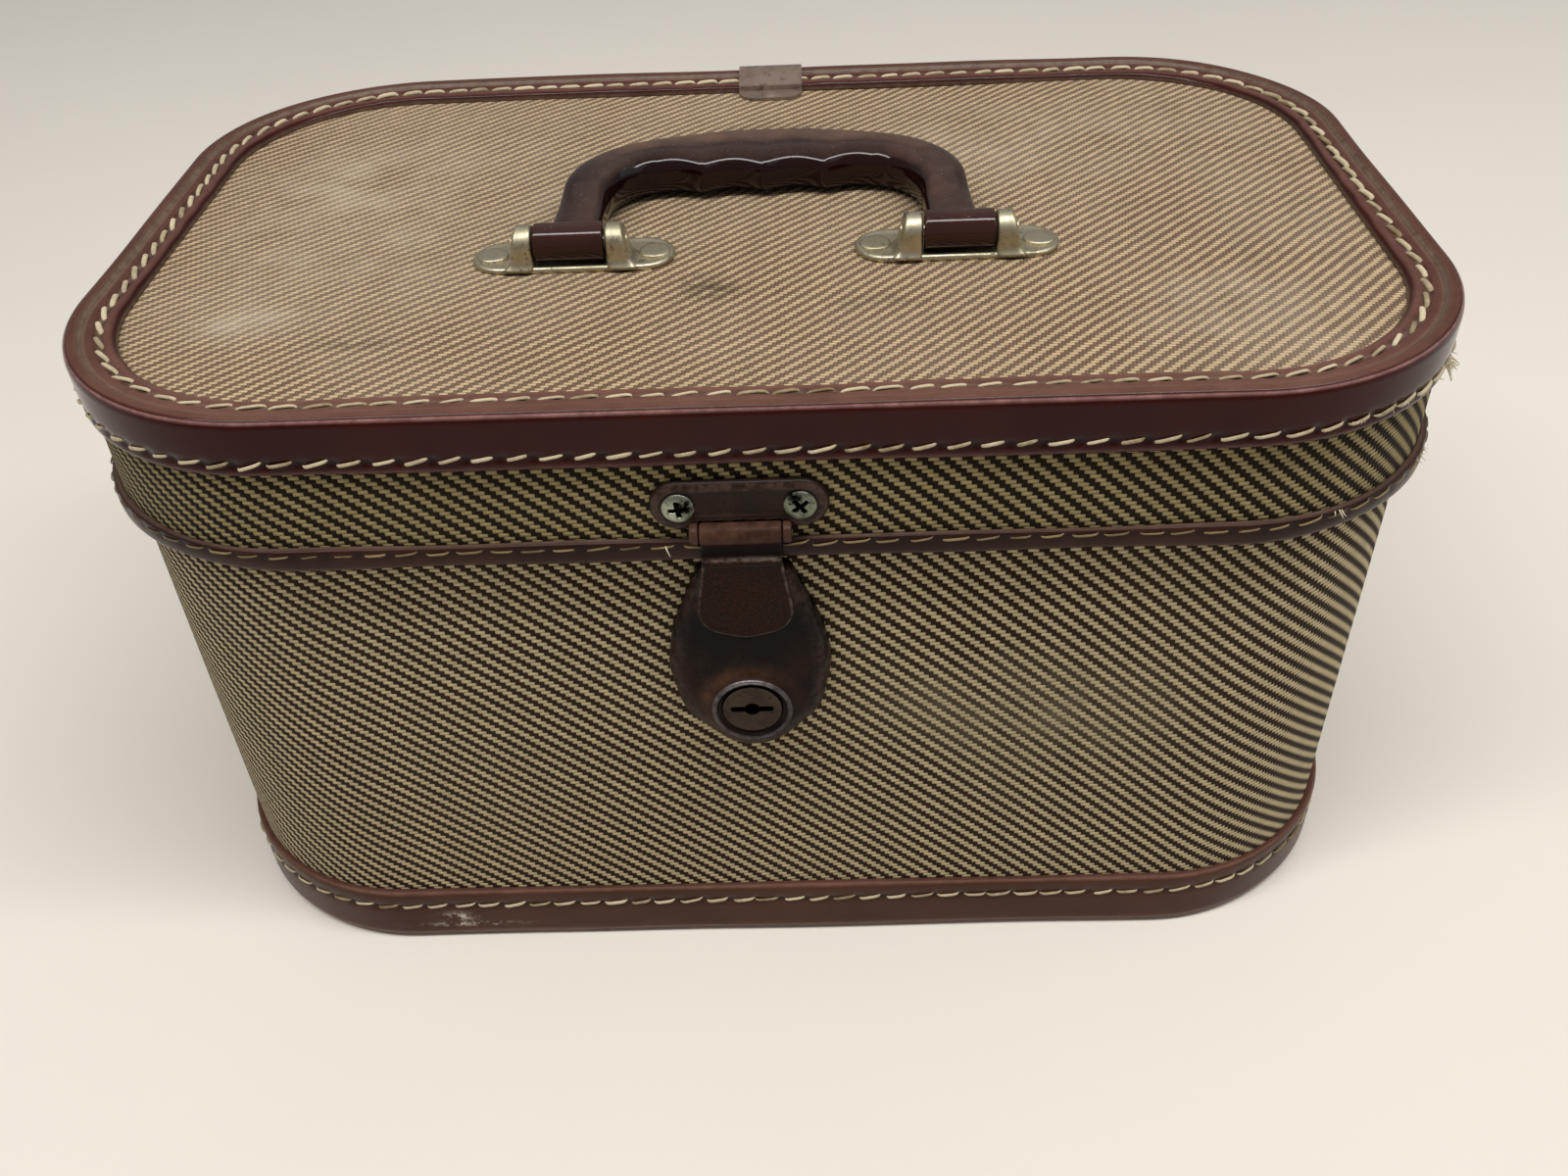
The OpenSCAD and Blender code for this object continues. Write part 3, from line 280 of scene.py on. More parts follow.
    def relief(self, height: object, depth: float, share: float, under: Socket | None = None) -> Socket:
        """Makes a bump.

        Args:
            height: Height of the surface, from 0 to 1.
            depth: Depth that a height of 1 stands for, in metres.
            share: Strength of the bump.
            under: Another bump that this one lies over.

        Returns:
            The bent direction of the surface.
        """
        plugs = {"Height": height, "Distance": depth, "Strength": share}
        if under is not None:
            plugs["Normal"] = under
        return self.node("ShaderNodeBump", plugs).outputs[0]


@dataclass(frozen=True)
class TwillCloth:
    """Two-tone twill, two threads over and two under, woven in real threads along a map in metres.

    A tone is how much a pattern changes the brightness and the brightness that is left without it; the
    round shade is such a pair for painted shade where the threads dip.
    """

    name: str
    dark: str
    light: str
    dusty: str
    pitch: Pair
    twill: Twill
    skew: float
    dust: float
    grime: str = "2a2019"
    over: float = 2.0
    layers: Point = (0.31, 0.77, 0.12)
    drift_scale: float = 9.0
    wobble_scale: float = 260.0
    wobble: float = 0.35
    slub_scale: float = 420.0
    float_end: float = 0.07
    bulge: Pair = (0.6, 0.5)
    thread_tone: Pair = (0.10, 0.86)
    slub_tone: Pair = (0.5, 0.78)
    round_shade: Pair = (0.62, 0.42)
    soil: Mottle = Mottle(16.0, 4.0, 0.6, 0.35, 0.75)
    soil_share: Pair = (0.7, 0.3)
    fading: Mottle = Mottle(45.0, 5.0, 0.65, 0.25, 0.75)
    fade: float = 0.6
    staining: Mottle = Mottle(160.0, 4.0, 0.7, 0.35, 0.6)
    stain: float = 0.8
    roughness: float = 0.78
    gloss: float = 0.08
    sheen: float = 0.03
    relief: Pair = (0.00022, 0.9)

    def material(self) -> Finish:
        """Makes the material.

        Returns:
            The material, with its nodes.
        """
        sh = Shader(self.name)
        across, up, _ = sh.split(sh.node("ShaderNodeUVMap", uv_map=CLOTH_MAP).outputs[0])
        drift_layer, wobble_layer, slub_layer = (sh.flat(across, up, layer) for layer in self.layers)
        drift = sh.math("SUBTRACT", sh.noise(drift_layer, self.drift_scale, 1.0), 0.5)
        wobble = sh.math("SUBTRACT", sh.noise(wobble_layer, self.wobble_scale, 1.0), 0.5)
        shift = sh.scaled(drift, self.skew * MM, sh.times(wobble, self.wobble * MM))
        a = sh.math("DIVIDE", sh.math("ADD", across, shift), self.pitch[0] * MM)
        b = sh.math("DIVIDE", sh.math("SUBTRACT", up, shift), self.pitch[1] * MM)
        i, j = sh.math("FLOOR", a), sh.math("FLOOR", b)
        k = sh.math("FLOORED_MODULO", sh.scaled(j, self.twill.value, i), 2 * self.over)
        warp = sh.math("LESS_THAN", k, self.over - 0.5)
        height = self.height(sh, a, b, k, warp)
        tone = sh.scaled(sh.math("ADD", sh.chance(i), sh.chance(j)), *self.thread_tone)
        tone = sh.times(tone, sh.scaled(sh.noise(slub_layer, self.slub_scale, 2.0), *self.slub_tone))
        # Painted shade: each thread darkens towards its edges and ends, where it dips under the next.
        shade = sh.times(tone, sh.scaled(height, *self.round_shade))
        thread = sh.mix(warp, linear(self.light), linear(self.dark))
        thread = sh.mix(1.0, thread, sh.grey(shade), "MULTIPLY")
        sh.set(Base_Color=self.soiled(sh, thread), Roughness=self.roughness)
        sh.set(Specular_IOR_Level=self.gloss, Sheen_Weight=self.sheen)
        sh.set(Normal=sh.relief(height, *self.relief))
        return sh.material

    def height(self, sh: Shader, a: Socket, b: Socket, k: Socket, warp: Socket) -> Socket:
        """Height of the thread that lies on top.

        Args:
            sh: Shader that is being built.
            a: Place across the cloth, counted in threads.
            b: Place along the cloth, counted in threads.
            k: Place in the repeat of the weave.
            warp: 1 where the thread along the cloth lies on top.

        Returns:
            The height, from 0 to 1.
        """
        lead = sh.scaled(k, self.twill.value, 0.0 if self.twill is Twill.FALLING else self.over - 1)
        fa, fb = sh.math("FRACT", a), sh.math("FRACT", b)
        warp_run = sh.times(sh.math("ADD", lead, fb), 1 / self.over)
        weft_run = sh.times(sh.math("ADD", sh.math("SUBTRACT", k, self.over), fa), 1 / self.over)
        warp_round, weft_round = self.thread(sh, fa, warp_run), self.thread(sh, fb, weft_run)
        return sh.scaled(sh.math("SUBTRACT", warp_round, weft_round), warp, weft_round)

    def thread(self, sh: Shader, width: Socket, run: Socket) -> Socket:
        """Rounds one thread across its width and along its float.

        Args:
            sh: Shader that is being built.
            width: Place across the thread, from 0 to 1.
            run: Place along its float, from 0 to 1.

        Returns:
            Its height.
        """
        across = sh.math("SINE", sh.times(width, math.pi))
        along_float = sh.scaled(run, math.pi * (1 - 2 * self.float_end), math.pi * self.float_end)
        round_across, round_along = self.bulge
        along = sh.math("POWER", sh.math("SINE", along_float), round_along)
        return sh.times(sh.math("POWER", across, round_across), along)

    def soiled(self, sh: Shader, thread: Socket) -> Socket:
        """Lays dust, faded patches and grime on the threads.

        Args:
            sh: Shader that is being built.
            thread: Colour of the clean threads.

        Returns:
            The soiled colour.
        """
        place = sh.place()
        dusting = sh.times(sh.scaled(sh.mottle(place, self.soil), *self.soil_share), self.dust)
        faded = sh.times(sh.mask("faded"), sh.mottle(place, self.fading))
        colour = sh.mix(sh.scaled(faded, self.fade, dusting), thread, linear(self.dusty))
        grime = sh.times(sh.mask("grime"), sh.mottle(place, self.staining))
        return sh.mix(sh.times(grime, self.stain), colour, linear(self.grime))


@dataclass(frozen=True)
class Leathercloth:
    """Glossy coated binding cloth, dulled by dust on top, darkened by painted shade in its furrows and
    rubbed on its edges.
    """

    name: str
    colour: str
    deep: str
    dusty: str
    rubbed: str
    dust: float
    roughness: float
    gloss: float = 0.15
    # Colour of the painted shade in the furrows along the stitches.
    furrow: str = "120705"
    lint: str = "857062"
    scuff: str = "cfc6b8"
    blotch: Mottle = Mottle(30.0, 3.0, 0.55, 0.3, 0.72)
    upward: Pair = (0.72, 0.97)
    haze: Mottle = Mottle(85.0, 5.0, 0.65, 0.22, 0.8)
    haze_share: Pair = (0.4, 0.6)
    rubbing: Mottle = Mottle(240.0, 4.0, 0.7, 0.38, 0.7)
    rub_share: Pair = (0.4, 0.55)
    furrow_share: float = 0.85
    fluff: Mottle = Mottle(330.0, 4.0, 0.7, 0.3, 0.7)
    fluff_share: Pair = (0.4, 0.5)
    scuffing: Mottle = Mottle(420.0, 3.0, 0.7, 0.45, 0.58)
    skin: Grain = (900.0, 3.0, 0.6)
    pores: float = 1500.0
    skin_share: Pair = (0.6, 0.4)
    crease: Grain = (70.0, 3.0, 0.55)
    dust_dulls: float = 0.35
    haze_dulls: float = 0.06
    scuff_dulls: float = 0.3
    skin_relief: Pair = (0.00006, 0.3)
    crease_relief: Pair = (0.0012, 0.12)

    def material(self) -> Finish:
        """Makes the material.

        Returns:
            The material, with its nodes.
        """
        sh = Shader(self.name)
        place = sh.place()
        colour = sh.mix(sh.mottle(place, self.blotch), linear(self.deep), linear(self.colour))
        haze = sh.mottle(place, self.haze)
        lying = sh.times(sh.times(sh.step(sh.facing(), *self.upward), self.dust), sh.mask("dusty"))
        dust = sh.times(lying, sh.scaled(haze, *self.haze_share))
        colour = sh.mix(dust, colour, linear(self.dusty))
        # The rubbed mark is wear, and along the lid edge's bead it is also a painted highlight line.
        rub = sh.worn("rubbed", place, self.rubbing, self.rub_share)
        colour = sh.mix(rub, colour, linear(self.rubbed))
        # Painted shade: the sunk mask darkens the furrows along the stitches.
        colour = sh.mix(sh.times(sh.mask("sunk"), self.furrow_share), colour, linear(self.furrow))
        fluff = sh.worn("lint", place, self.fluff, self.fluff_share)
        colour = sh.mix(fluff, colour, linear(self.lint))
        scuff = sh.times(sh.mask("scuffed"), sh.mottle(place, self.scuffing))
        colour = sh.mix(scuff, colour, linear(self.scuff))
        dull = sh.scaled(dust, self.dust_dulls, sh.scaled(haze, self.haze_dulls, self.roughness))
        dull = sh.scaled(sh.math("ADD", scuff, fluff), self.scuff_dulls, dull)
        sh.set(Base_Color=colour, Roughness=dull, Specular_IOR_Level=self.gloss)
        grain, pore = self.skin_share
        skin = sh.scaled(sh.noise(place, *self.skin), grain, sh.times(sh.cells(place, self.pores), pore))
        crease = sh.relief(sh.noise(place, *self.crease), *self.crease_relief)
        sh.set(Normal=sh.relief(skin, *self.skin_relief, crease))
        return sh.material


@dataclass(frozen=True)
class Thread:
    """Twisted sewing thread, pale where it is clean and brown where it is soiled."""

    name: str
    pale: str
    soiled: str
    soiling: Grain = (400.0, 3.0, 0.6)
    soil_share: Pair = (0.8, -0.4)
    ply_scale: float = 2600.0
    ply_tone: Pair = (0.5, 0.72)
    roughness: float = 0.82
    gloss: float = 0.3
    sheen: float = 0.1
    relief: Pair = (0.00012, 0.8)

    def material(self) -> Finish:
        """Makes the material.

        Returns:
            The material, with its nodes.
        """
        sh = Shader(self.name)
        place = sh.place()
        patchy = sh.scaled(sh.noise(place, *self.soiling), *self.soil_share)
        soil = sh.math("ADD", sh.mask("soiled"), patchy)
        colour = sh.mix(sh.step(soil, 0.0, 1.0), linear(self.pale), linear(self.soiled))
        ply = sh.noise(place, self.ply_scale, 2.0)
        colour = sh.mix(1.0, colour, sh.grey(sh.scaled(ply, *self.ply_tone)), "MULTIPLY")
        sh.set(Base_Color=colour, Roughness=self.roughness)
        sh.set(Specular_IOR_Level=self.gloss, Sheen_Weight=self.sheen)
        sh.set(Normal=sh.relief(ply, *self.relief))
        return sh.material


@dataclass(frozen=True)
class Moulding:
    """Dark moulded handle, glossy where fingers rub it and dull with dust on its upper face."""

    name: str
    colour: str
    deep: str
    dusty: str
    film: float
    lint: str = "9a8a7c"
    upward: Pair = (0.55, 0.97)
    haze: Grain = (120.0, 5.0, 0.62)
    film_edge: Pair = (0.2, 0.75)
    film_share: Pair = (0.6, 0.4)
    swirl: Mottle = Mottle(24.0, 3.0, 0.6, 0.35, 0.7)
    specks: Mottle = Mottle(1400.0, 2.0, 0.7, 0.66, 0.74)
    speck_share: float = 0.5
    roughness: float = 0.06
    haze_dulls: float = 0.05
    film_dulls: float = 0.45
    gloss: float = 0.34
    ripple: float = 240.0
    relief: Pair = (0.0002, 0.05)

    def material(self) -> Finish:
        """Makes the material.

        Returns:
            The material, with its nodes.
        """
        sh = Shader(self.name)
        place = sh.place()
        up = sh.step(sh.facing(), *self.upward)
        haze = sh.noise(place, *self.haze)
        patchy = sh.scaled(sh.step(haze, *self.film_edge), *self.film_share)
        film = sh.times(sh.times(up, sh.times(sh.mask("film"), self.film)), patchy)
        colour = sh.mix(sh.mottle(place, self.swirl), linear(self.colour), linear(self.deep))
        colour = sh.mix(film, colour, linear(self.dusty))
        lint = sh.times(sh.mottle(place, self.specks), sh.times(up, self.speck_share))
        colour = sh.mix(lint, colour, linear(self.lint))
        dull = sh.scaled(film, self.film_dulls, sh.scaled(haze, self.haze_dulls, self.roughness))
        sh.set(Base_Color=colour, Roughness=dull, Specular_IOR_Level=self.gloss)
        sh.set(Normal=sh.relief(sh.noise(place, self.ripple, 2.0), *self.relief))
        return sh.material


@dataclass(frozen=True)
class Metal:
    """Metal with clouds of tarnish, spots and dirty patches, and painted black shade behind a recess
    where one is given.
    """

    name: str
    bright: str
    tarnish: str
    spots: str
    amount: float
    roughness: float
    metallic: float = 1.0
    # Colour of the dirt, and of the painted shade behind a recess.
    dirt_and_shade: str = "0a0908"
    recess: float | None = None
    recess_edge: Pair = (0.1, 0.5)
    cloud: Mottle = Mottle(110.0, 5.0, 0.65, 0.3, 0.75)
    pits: Mottle = Mottle(900.0, 4.0, 0.7, 0.58, 0.7)
    stain: Mottle = Mottle(330.0, 3.0, 0.6, 0.6, 0.7)
    stain_share: float = 0.6
    dirt_grain: Grain = (700.0, 3.0, 0.65)
    dirt_uneven: float = 0.9
    dirt_edge: Pair = (0.3, 0.6)
    dirt_start: float = 0.3
    cloud_dulls: float = 0.18
    pits_dull: float = 0.3
    skin: float = 1800.0
    pit_depth: float = 0.6
    relief: Pair = (0.00006, 0.5)

    def material(self) -> Finish:
        """Makes the material.

        Returns:
            The material, with its nodes.
        """
        sh = Shader(self.name)
        place = sh.place()
        cloud = sh.mottle(place, self.cloud)
        colour = sh.mix(sh.times(cloud, self.amount), linear(self.bright), linear(self.tarnish))
        pits = sh.times(sh.mottle(place, self.pits), self.amount)
        stain = sh.times(sh.mottle(place, self.stain), self.amount)
        spots = sh.math("MAXIMUM", pits, sh.times(stain, self.stain_share))
        colour = sh.mix(spots, colour, linear(self.spots))
        sunk = sh.mask("sunk")
        least = sh.math("SUBTRACT", sunk, self.dirt_uneven / 2)
        patchy = sh.scaled(sh.noise(place, *self.dirt_grain), self.dirt_uneven, least)
        dirt_and_shade = sh.times(sh.step(patchy, *self.dirt_edge), sh.step(sunk, 0.0, self.dirt_start))
        colour = sh.mix(dirt_and_shade, colour, linear(self.dirt_and_shade))
        # Painted shade: all that lies behind the recess, in the keyhole and inside the case, is painted
        # near black.
        if self.recess is not None:
            start, end = ((self.recess + edge) * MM for edge in self.recess_edge)
            colour = sh.mix(sh.step(sh.split(place)[1], start, end), colour, linear(self.dirt_and_shade))
        dull = sh.scaled(pits, self.pits_dull, sh.scaled(cloud, self.cloud_dulls, self.roughness))
        sh.set(Base_Color=colour, Roughness=dull, Metallic=self.metallic)
        skin = sh.scaled(pits, -self.pit_depth, sh.noise(place, self.skin, 2.0))
        sh.set(Normal=sh.relief(skin, *self.relief))
        return sh.material


@dataclass(frozen=True)
class Enamel:
    """Brown lacquer on steel, clouded with wear, stippled with rust, rubbed pale on its edges and
    darkened by painted shade where it is sunk.
    """

    name: str
    colour: str
    worn: str
    rust: str
    rubbed: str
    chips: float
    roughness: float
    gloss: float = 0.15
    ruddy: str = "54382e"
    # Colour of the painted shade in hollows, under the tongue and in the bezel's inner furrow.
    dirt_and_shade: str = "0d0706"
    # Colour of bare steel; on the lock's lip it also paints the highlight.
    steel: str = "8c8787"
    cloud: Mottle = Mottle(110.0, 5.0, 0.65, 0.35, 0.7)
    stipple: Mottle = Mottle(1500.0, 3.0, 0.65, 0.46, 0.62)
    chipped: Mottle = Mottle(60.0, 3.0, 0.5, 0.3, 0.7)
    warming: Mottle = Mottle(260.0, 4.0, 0.65, 0.3, 0.7)
    warm_share: Pair = (0.6, 0.3)
    rubbing: Mottle = Mottle(420.0, 4.0, 0.7, 0.35, 0.65)
    shade_share: float = 0.9
    baring: Mottle = Mottle(500.0, 4.0, 0.7, 0.35, 0.6)
    bare_share: Pair = (0.6, 0.3)
    cloud_dulls: float = 0.12
    chips_dull: float = 0.25
    skin: float = 1500.0
    chip_depth: float = 0.7
    relief: Pair = (0.0001, 0.6)

    def material(self) -> Finish:
        """Makes the material.

        Returns:
            The material, with its nodes.
        """
        sh = Shader(self.name)
        place = sh.place()
        cloud = sh.mottle(place, self.cloud)
        colour = sh.mix(cloud, linear(self.colour), linear(self.worn))
        chipped = sh.times(sh.mottle(place, self.chipped), self.chips)
        chips = sh.times(sh.mottle(place, self.stipple), chipped)
        colour = sh.mix(chips, colour, linear(self.rust))
        warm = sh.worn("ruddy", place, self.warming, self.warm_share)
        colour = sh.mix(warm, colour, linear(self.ruddy))
        edge = sh.times(sh.mask("rubbed"), sh.mottle(place, self.rubbing))
        colour = sh.mix(edge, colour, linear(self.rubbed))
        # Painted shade: the sunk mask darkens hollows and shaded places.
        colour = sh.mix(sh.times(sh.mask("sunk"), self.shade_share), colour, linear(self.dirt_and_shade))
        # The bare mark is worn-through lacquer; on the lock's lip it is strongest at its top as a painted
        # highlight.
        bare = sh.worn("bare", place, self.baring, self.bare_share)
        colour = sh.mix(bare, colour, linear(self.steel))
        dull = sh.scaled(chips, self.chips_dull, sh.scaled(cloud, self.cloud_dulls, self.roughness))
        sh.set(Base_Color=colour, Roughness=dull, Metallic=bare, Specular_IOR_Level=self.gloss)
        skin = sh.scaled(chips, -self.chip_depth, sh.noise(place, self.skin, 2.0))
        sh.set(Normal=sh.relief(skin, *self.relief))
        return sh.material


@dataclass(frozen=True)
class Lining:
    """Plain close-woven cloth or board for the inside and the underside."""

    name: str
    colour: str
    shade: str
    pitch: float
    roughness: float
    stain: Mottle = Mottle(12.0, 5.0, 0.6, 0.35, 0.78)
    weave_share: float = 0.25
    stain_share: float = 0.6
    gloss: float = 0.3
    sheen: float = 0.1
    relief: Pair = (0.0001, 0.6)

    def material(self) -> Finish:
        """Makes the material.

        Returns:
            The material, with its nodes.
        """
        sh = Shader(self.name)
        place = sh.place()
        x, y, z = sh.split(place)
        turn = 2 * math.pi / (self.pitch * MM)
        one = sh.math("SINE", sh.times(sh.math("ADD", x, y), turn))
        two = sh.math("SINE", sh.times(sh.math("SUBTRACT", sh.math("ADD", z, x), y), turn))
        weave = sh.scaled(sh.times(one, two), 0.5, 0.5)
        stain = sh.times(sh.mottle(place, self.stain), self.stain_share)
        fibre = sh.scaled(weave, self.weave_share, stain)
        colour = sh.mix(fibre, linear(self.colour), linear(self.shade))
        sh.set(Base_Color=colour, Roughness=self.roughness)
        sh.set(Specular_IOR_Level=self.gloss, Sheen_Weight=self.sheen)
        sh.set(Normal=sh.relief(weave, *self.relief))
        return sh.material


@dataclass(frozen=True)
class Floor:
    """Pale matt floor of the studio."""

    name: str
    colour: str
    shade: str
    cloud: Mottle = Mottle(5.0, 3.0, 0.5, 0.2, 0.8)
    cloud_share: float = 0.15
    roughness: float = 0.7
    gloss: float = 0.25

    def material(self) -> Finish:
        """Makes the material.

        Returns:
            The material, with its nodes.
        """
        sh = Shader(self.name)
        cloud = sh.times(sh.mottle(sh.place(), self.cloud), self.cloud_share)
        sh.set(Base_Color=sh.mix(cloud, linear(self.colour), linear(self.shade)))
        sh.set(Roughness=self.roughness, Specular_IOR_Level=self.gloss)
        return sh.material


@dataclass(frozen=True)
class Plan:
    """Plan of the case: every wall lies at a distance outside one core rectangle, in millimetres."""

    core_x: float = 110.0
    core_y: float = 44.0

    def legs(self) -> list[tuple[float, ...]]:
        """Lists the runs and corners from the middle of the rear, by the left side and all round.

        Returns:
            Core point and angle at the start and the end of each.
        """
        x, y = self.core_x, self.core_y
        return [
            (0, y, -x, y, 90, 90),
            (-x, y, -x, y, 90, 180),
            (-x, y, -x, -y, 180, 180),
            (-x, -y, -x, -y, 180, 270),
            (-x, -y, x, -y, 270, 270),
            (x, -y, x, -y, 270, 360),
            (x, -y, x, y, 360, 360),
            (x, y, x, y, 360, 450),
            (x, y, 0, y, 450, 450),
        ]

    def length(self, r: float) -> float:
        """Length of the outline at a distance from the core."""
        return 4 * (self.core_x + self.core_y) + 2 * math.pi * r

    def front(self, r: float, x: float) -> float:
        """Distance along the outline of a place on the front wall."""
        return 2 * self.core_x + 2 * self.core_y + math.pi * r + x

    def right_corner(self, r: float, angle: float) -> float:
        """Distance along the outline of a place on the front right corner, in degrees from the front."""
        return self.front(r, self.core_x) + r * math.radians(angle)

    def at(self, r: float, run: Array) -> tuple[Array, Array]:
        """Core points and outward directions along the outline.

        Args:
            r: Distance from the core at which the run is measured.
            run: Distances along the outline from the middle of the rear.

        Returns:
            Core points and unit directions, each of two columns.
        """
        run = np.mod(run, self.length(r))
        core, angle, start = np.zeros((len(run), 2)), np.zeros(len(run)), 0.0
        for x0, y0, x1, y1, a0, a1 in self.legs():
            size = abs(x1 - x0) + abs(y1 - y0) + r * math.radians(a1 - a0)
            here = (run >= start - TINY) & (run <= start + size + TINY)
            t = (run[here] - start) / size
            core[here] = np.outer(1 - t, (x0, y0)) + np.outer(t, (x1, y1))
            angle[here] = np.radians(a0 + (a1 - a0) * t)
            start += size
        return core, unit(angle)


PLAN = Plan()


def mesh_piece(name: str, points: Array, faces: Faces, body: Body) -> Piece:
    """Makes a piece from points in millimetres and rides it on a body.

    Args:
        name: Name of the piece.
        points: Points, one row each.
        faces: Corner numbers of each face.
        body: CAD body that carries it.

    Returns:
        The object, smooth shaded with its faces turned outward.
    """
    mesh = bpy.data.meshes.new(name)
    mesh.from_pydata((np.asarray(points, float) * MM).tolist(), [], faces)
    shape = bmesh.new()
    shape.from_mesh(mesh)
    bmesh.ops.recalc_face_normals(shape, faces=shape.faces)
    shape.to_mesh(mesh)
    shape.free()
    mesh.polygons.foreach_set("use_smooth", [True] * len(mesh.polygons))
    mesh.update()
    piece = bpy.data.objects.new(name, mesh)
    bpy.context.scene.collection.objects.link(piece)
    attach(piece, body.value)
    return piece


def paint(piece: Piece, name: str, values: Array) -> None:
    """Stores one value for each point of a piece's mesh under a name."""
    layer = piece.data.attributes.new(name, "FLOAT", "POINT")
    layer.data.foreach_set("value", np.asarray(values, np.float32).ravel())


def map_cloth(piece: Piece, places: Array) -> None:
    """Stores the cloth map on a piece, in metres.

    Args:
        piece: The cloth.
        places: Place of each point on the cloth, in millimetres.
    """
    corners = np.zeros(len(piece.data.loops), int)
    piece.data.loops.foreach_get("vertex_index", corners)
    layer = piece.data.uv_layers.new(name=CLOTH_MAP)
    layer.data.foreach_set("uv", (np.asarray(places, float)[corners] * MM).astype(np.float32).ravel())


def dress(piece: Piece, material: Finish) -> None:
    """Gives a piece or a CAD node its one material."""
    piece.data.materials.clear()
    piece.data.materials.append(material)


def stand_for(piece: Piece, node: str, finish: Finish) -> Piece:
    """Dresses a piece that stands for a CAD node.

    Args:
        piece: The piece.
        node: Name of the node.
        finish: Material of the piece.

    Returns:
        The piece.
    """
    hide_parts(node)
    dress(piece, finish)
    return piece


def ring_faces(rings: int, count: int, first: int = 0, ends: bool = True, loop: bool = False) -> Faces:
    """Corner numbers of the faces between rings of points.

    Args:
        rings: Number of rings.
        count: Number of points in each ring.
        first: Number of the first point.
        ends: Whether the first and last ring are filled.
        loop: Whether the last ring joins the first one.

    Returns:
        The faces.
    """
    made = []
    for i in range(rings if loop else rings - 1):
        a, b = first + i * count, first + (i + 1) % rings * count
        made += [[a + j, a + (j + 1) % count, b + (j + 1) % count, b + j] for j in range(count)]
    if ends and not loop:
        last = first + (rings - 1) * count
        made.append([first + j for j in range(count - 1, -1, -1)])
        made.append([last + j for j in range(count)])
    return made


class Lofts:
    """Gathers the points and faces of several lofted forms into one mesh."""

    def __init__(self) -> None:
        """Starts with no forms."""
        self.points: list[Array] = []
        self.faces: Faces = []
        self.size = 0

    def add(self, rings: Array) -> None:
        """Adds a closed form.

        Args:
            rings: Its points, by ring and by place in the ring.
        """
        rows, count = rings.shape[:2]
        self.faces += ring_faces(rows, count, self.size)
        self.points.append(rings.reshape(-1, 3))
        self.size += rows * count

    def piece(self, name: str, body: Body, slot: Slot) -> Piece:
        """Makes one piece of all the forms."""
        return mesh_piece(name, np.concatenate(self.points), self.faces, body)


def along(profile: Array) -> Array:
    """Distance run along a profile at each of its points."""
    return np.concatenate([[0.0], np.cumsum(np.hypot(*np.diff(profile, axis=0).T))])


def refine(profile: Pairs, step: float) -> Array:
    """Adds points to a profile.

    Args:
        profile: Points of the profile.
        step: Greatest distance between two points.

    Returns:
        The points, in two columns.
    """
    points = [np.array(profile[0], float)]
    for a, b in zip(profile[:-1], profile[1:]):
        count = max(1, math.ceil(math.dist(a, b) / step))
        points += [np.array(a) + (np.array(b) - np.array(a)) * k / count for k in range(1, count + 1)]
    return np.array(points)


def turns(count: int, start: float = 0.0) -> Array:
    """Equal angles of a full turn."""
    return start + 2 * math.pi * np.arange(count) / count


def lace(circles: Circles, ways: Array, inset: float = 0.0, least: float = 0.4) -> Array:
    """Outline of circles drawn tight together, moved inward, with one point for each direction.

    Args:
        circles: Middle and radius of each circle.
        ways: Directions in radians.
        inset: Distance that the outline moves inward.
        least: Smallest radius that a corner keeps.

    Returns:
        The points, in two columns.
    """
    c = np.array(circles, float)
    over = np.maximum(0.0, inset - (c[:, 2] - least))
    c[:, 0] -= np.sign(c[:, 0]) * over
    c[:, 1] -= np.sign(c[:, 1]) * over
    c[:, 2] += over - inset
    way = unit(ways)
    best = (way @ c[:, :2].T + c[:, 2]).argmax(1)
    return c[best, :2] + c[best, 2:3] * way


def soft_square(count: int, power: float) -> tuple[Array, Array]:
    """Points of a unit square with rounded corners, squarer for a higher power."""
    c, s = unit(turns(count)).T
    return np.sign(c) * np.abs(c) ** (2 / power), np.sign(s) * np.abs(s) ** (2 / power)


def barrel(x: float, half: float, r: float, axis: Pair, count: int, edge: float = 0.55) -> Array:
    """Rings of a drum along x with rounded ends.

    Args:
        x: Middle of the drum.
        half: Half its length.
        r: Its radius.
        axis: Place of its axis, in y and z.
        count: Number of points in a ring.
        edge: Radius of the rounded ends.

    Returns:
        The rings.
    """
    bends = np.radians(BARREL_BENDS)
    ends = [(-half + edge * (1 - math.cos(b)), r - edge * (1 - math.sin(b))) for b in bends]
    ends.append((-half + BARREL_STRAIGHT * edge, r))
    both = ends + [(-t, d) for t, d in ends[::-1]]
    around = unit(turns(count))
    return np.array([np.column_stack([np.full(count, x + t), axis + d * around]) for t, d in both])


@dataclass(frozen=True)
class Uneven:
    """How far the stitches of a row stray from each other: one deviation of each measure."""

    place: float = 0.2
    length: float = 0.06
    slant: float = 3.0
    aside: float = 0.1
    proud: float = 0.05
    thick: float = 0.08
    soil: float = 0.2


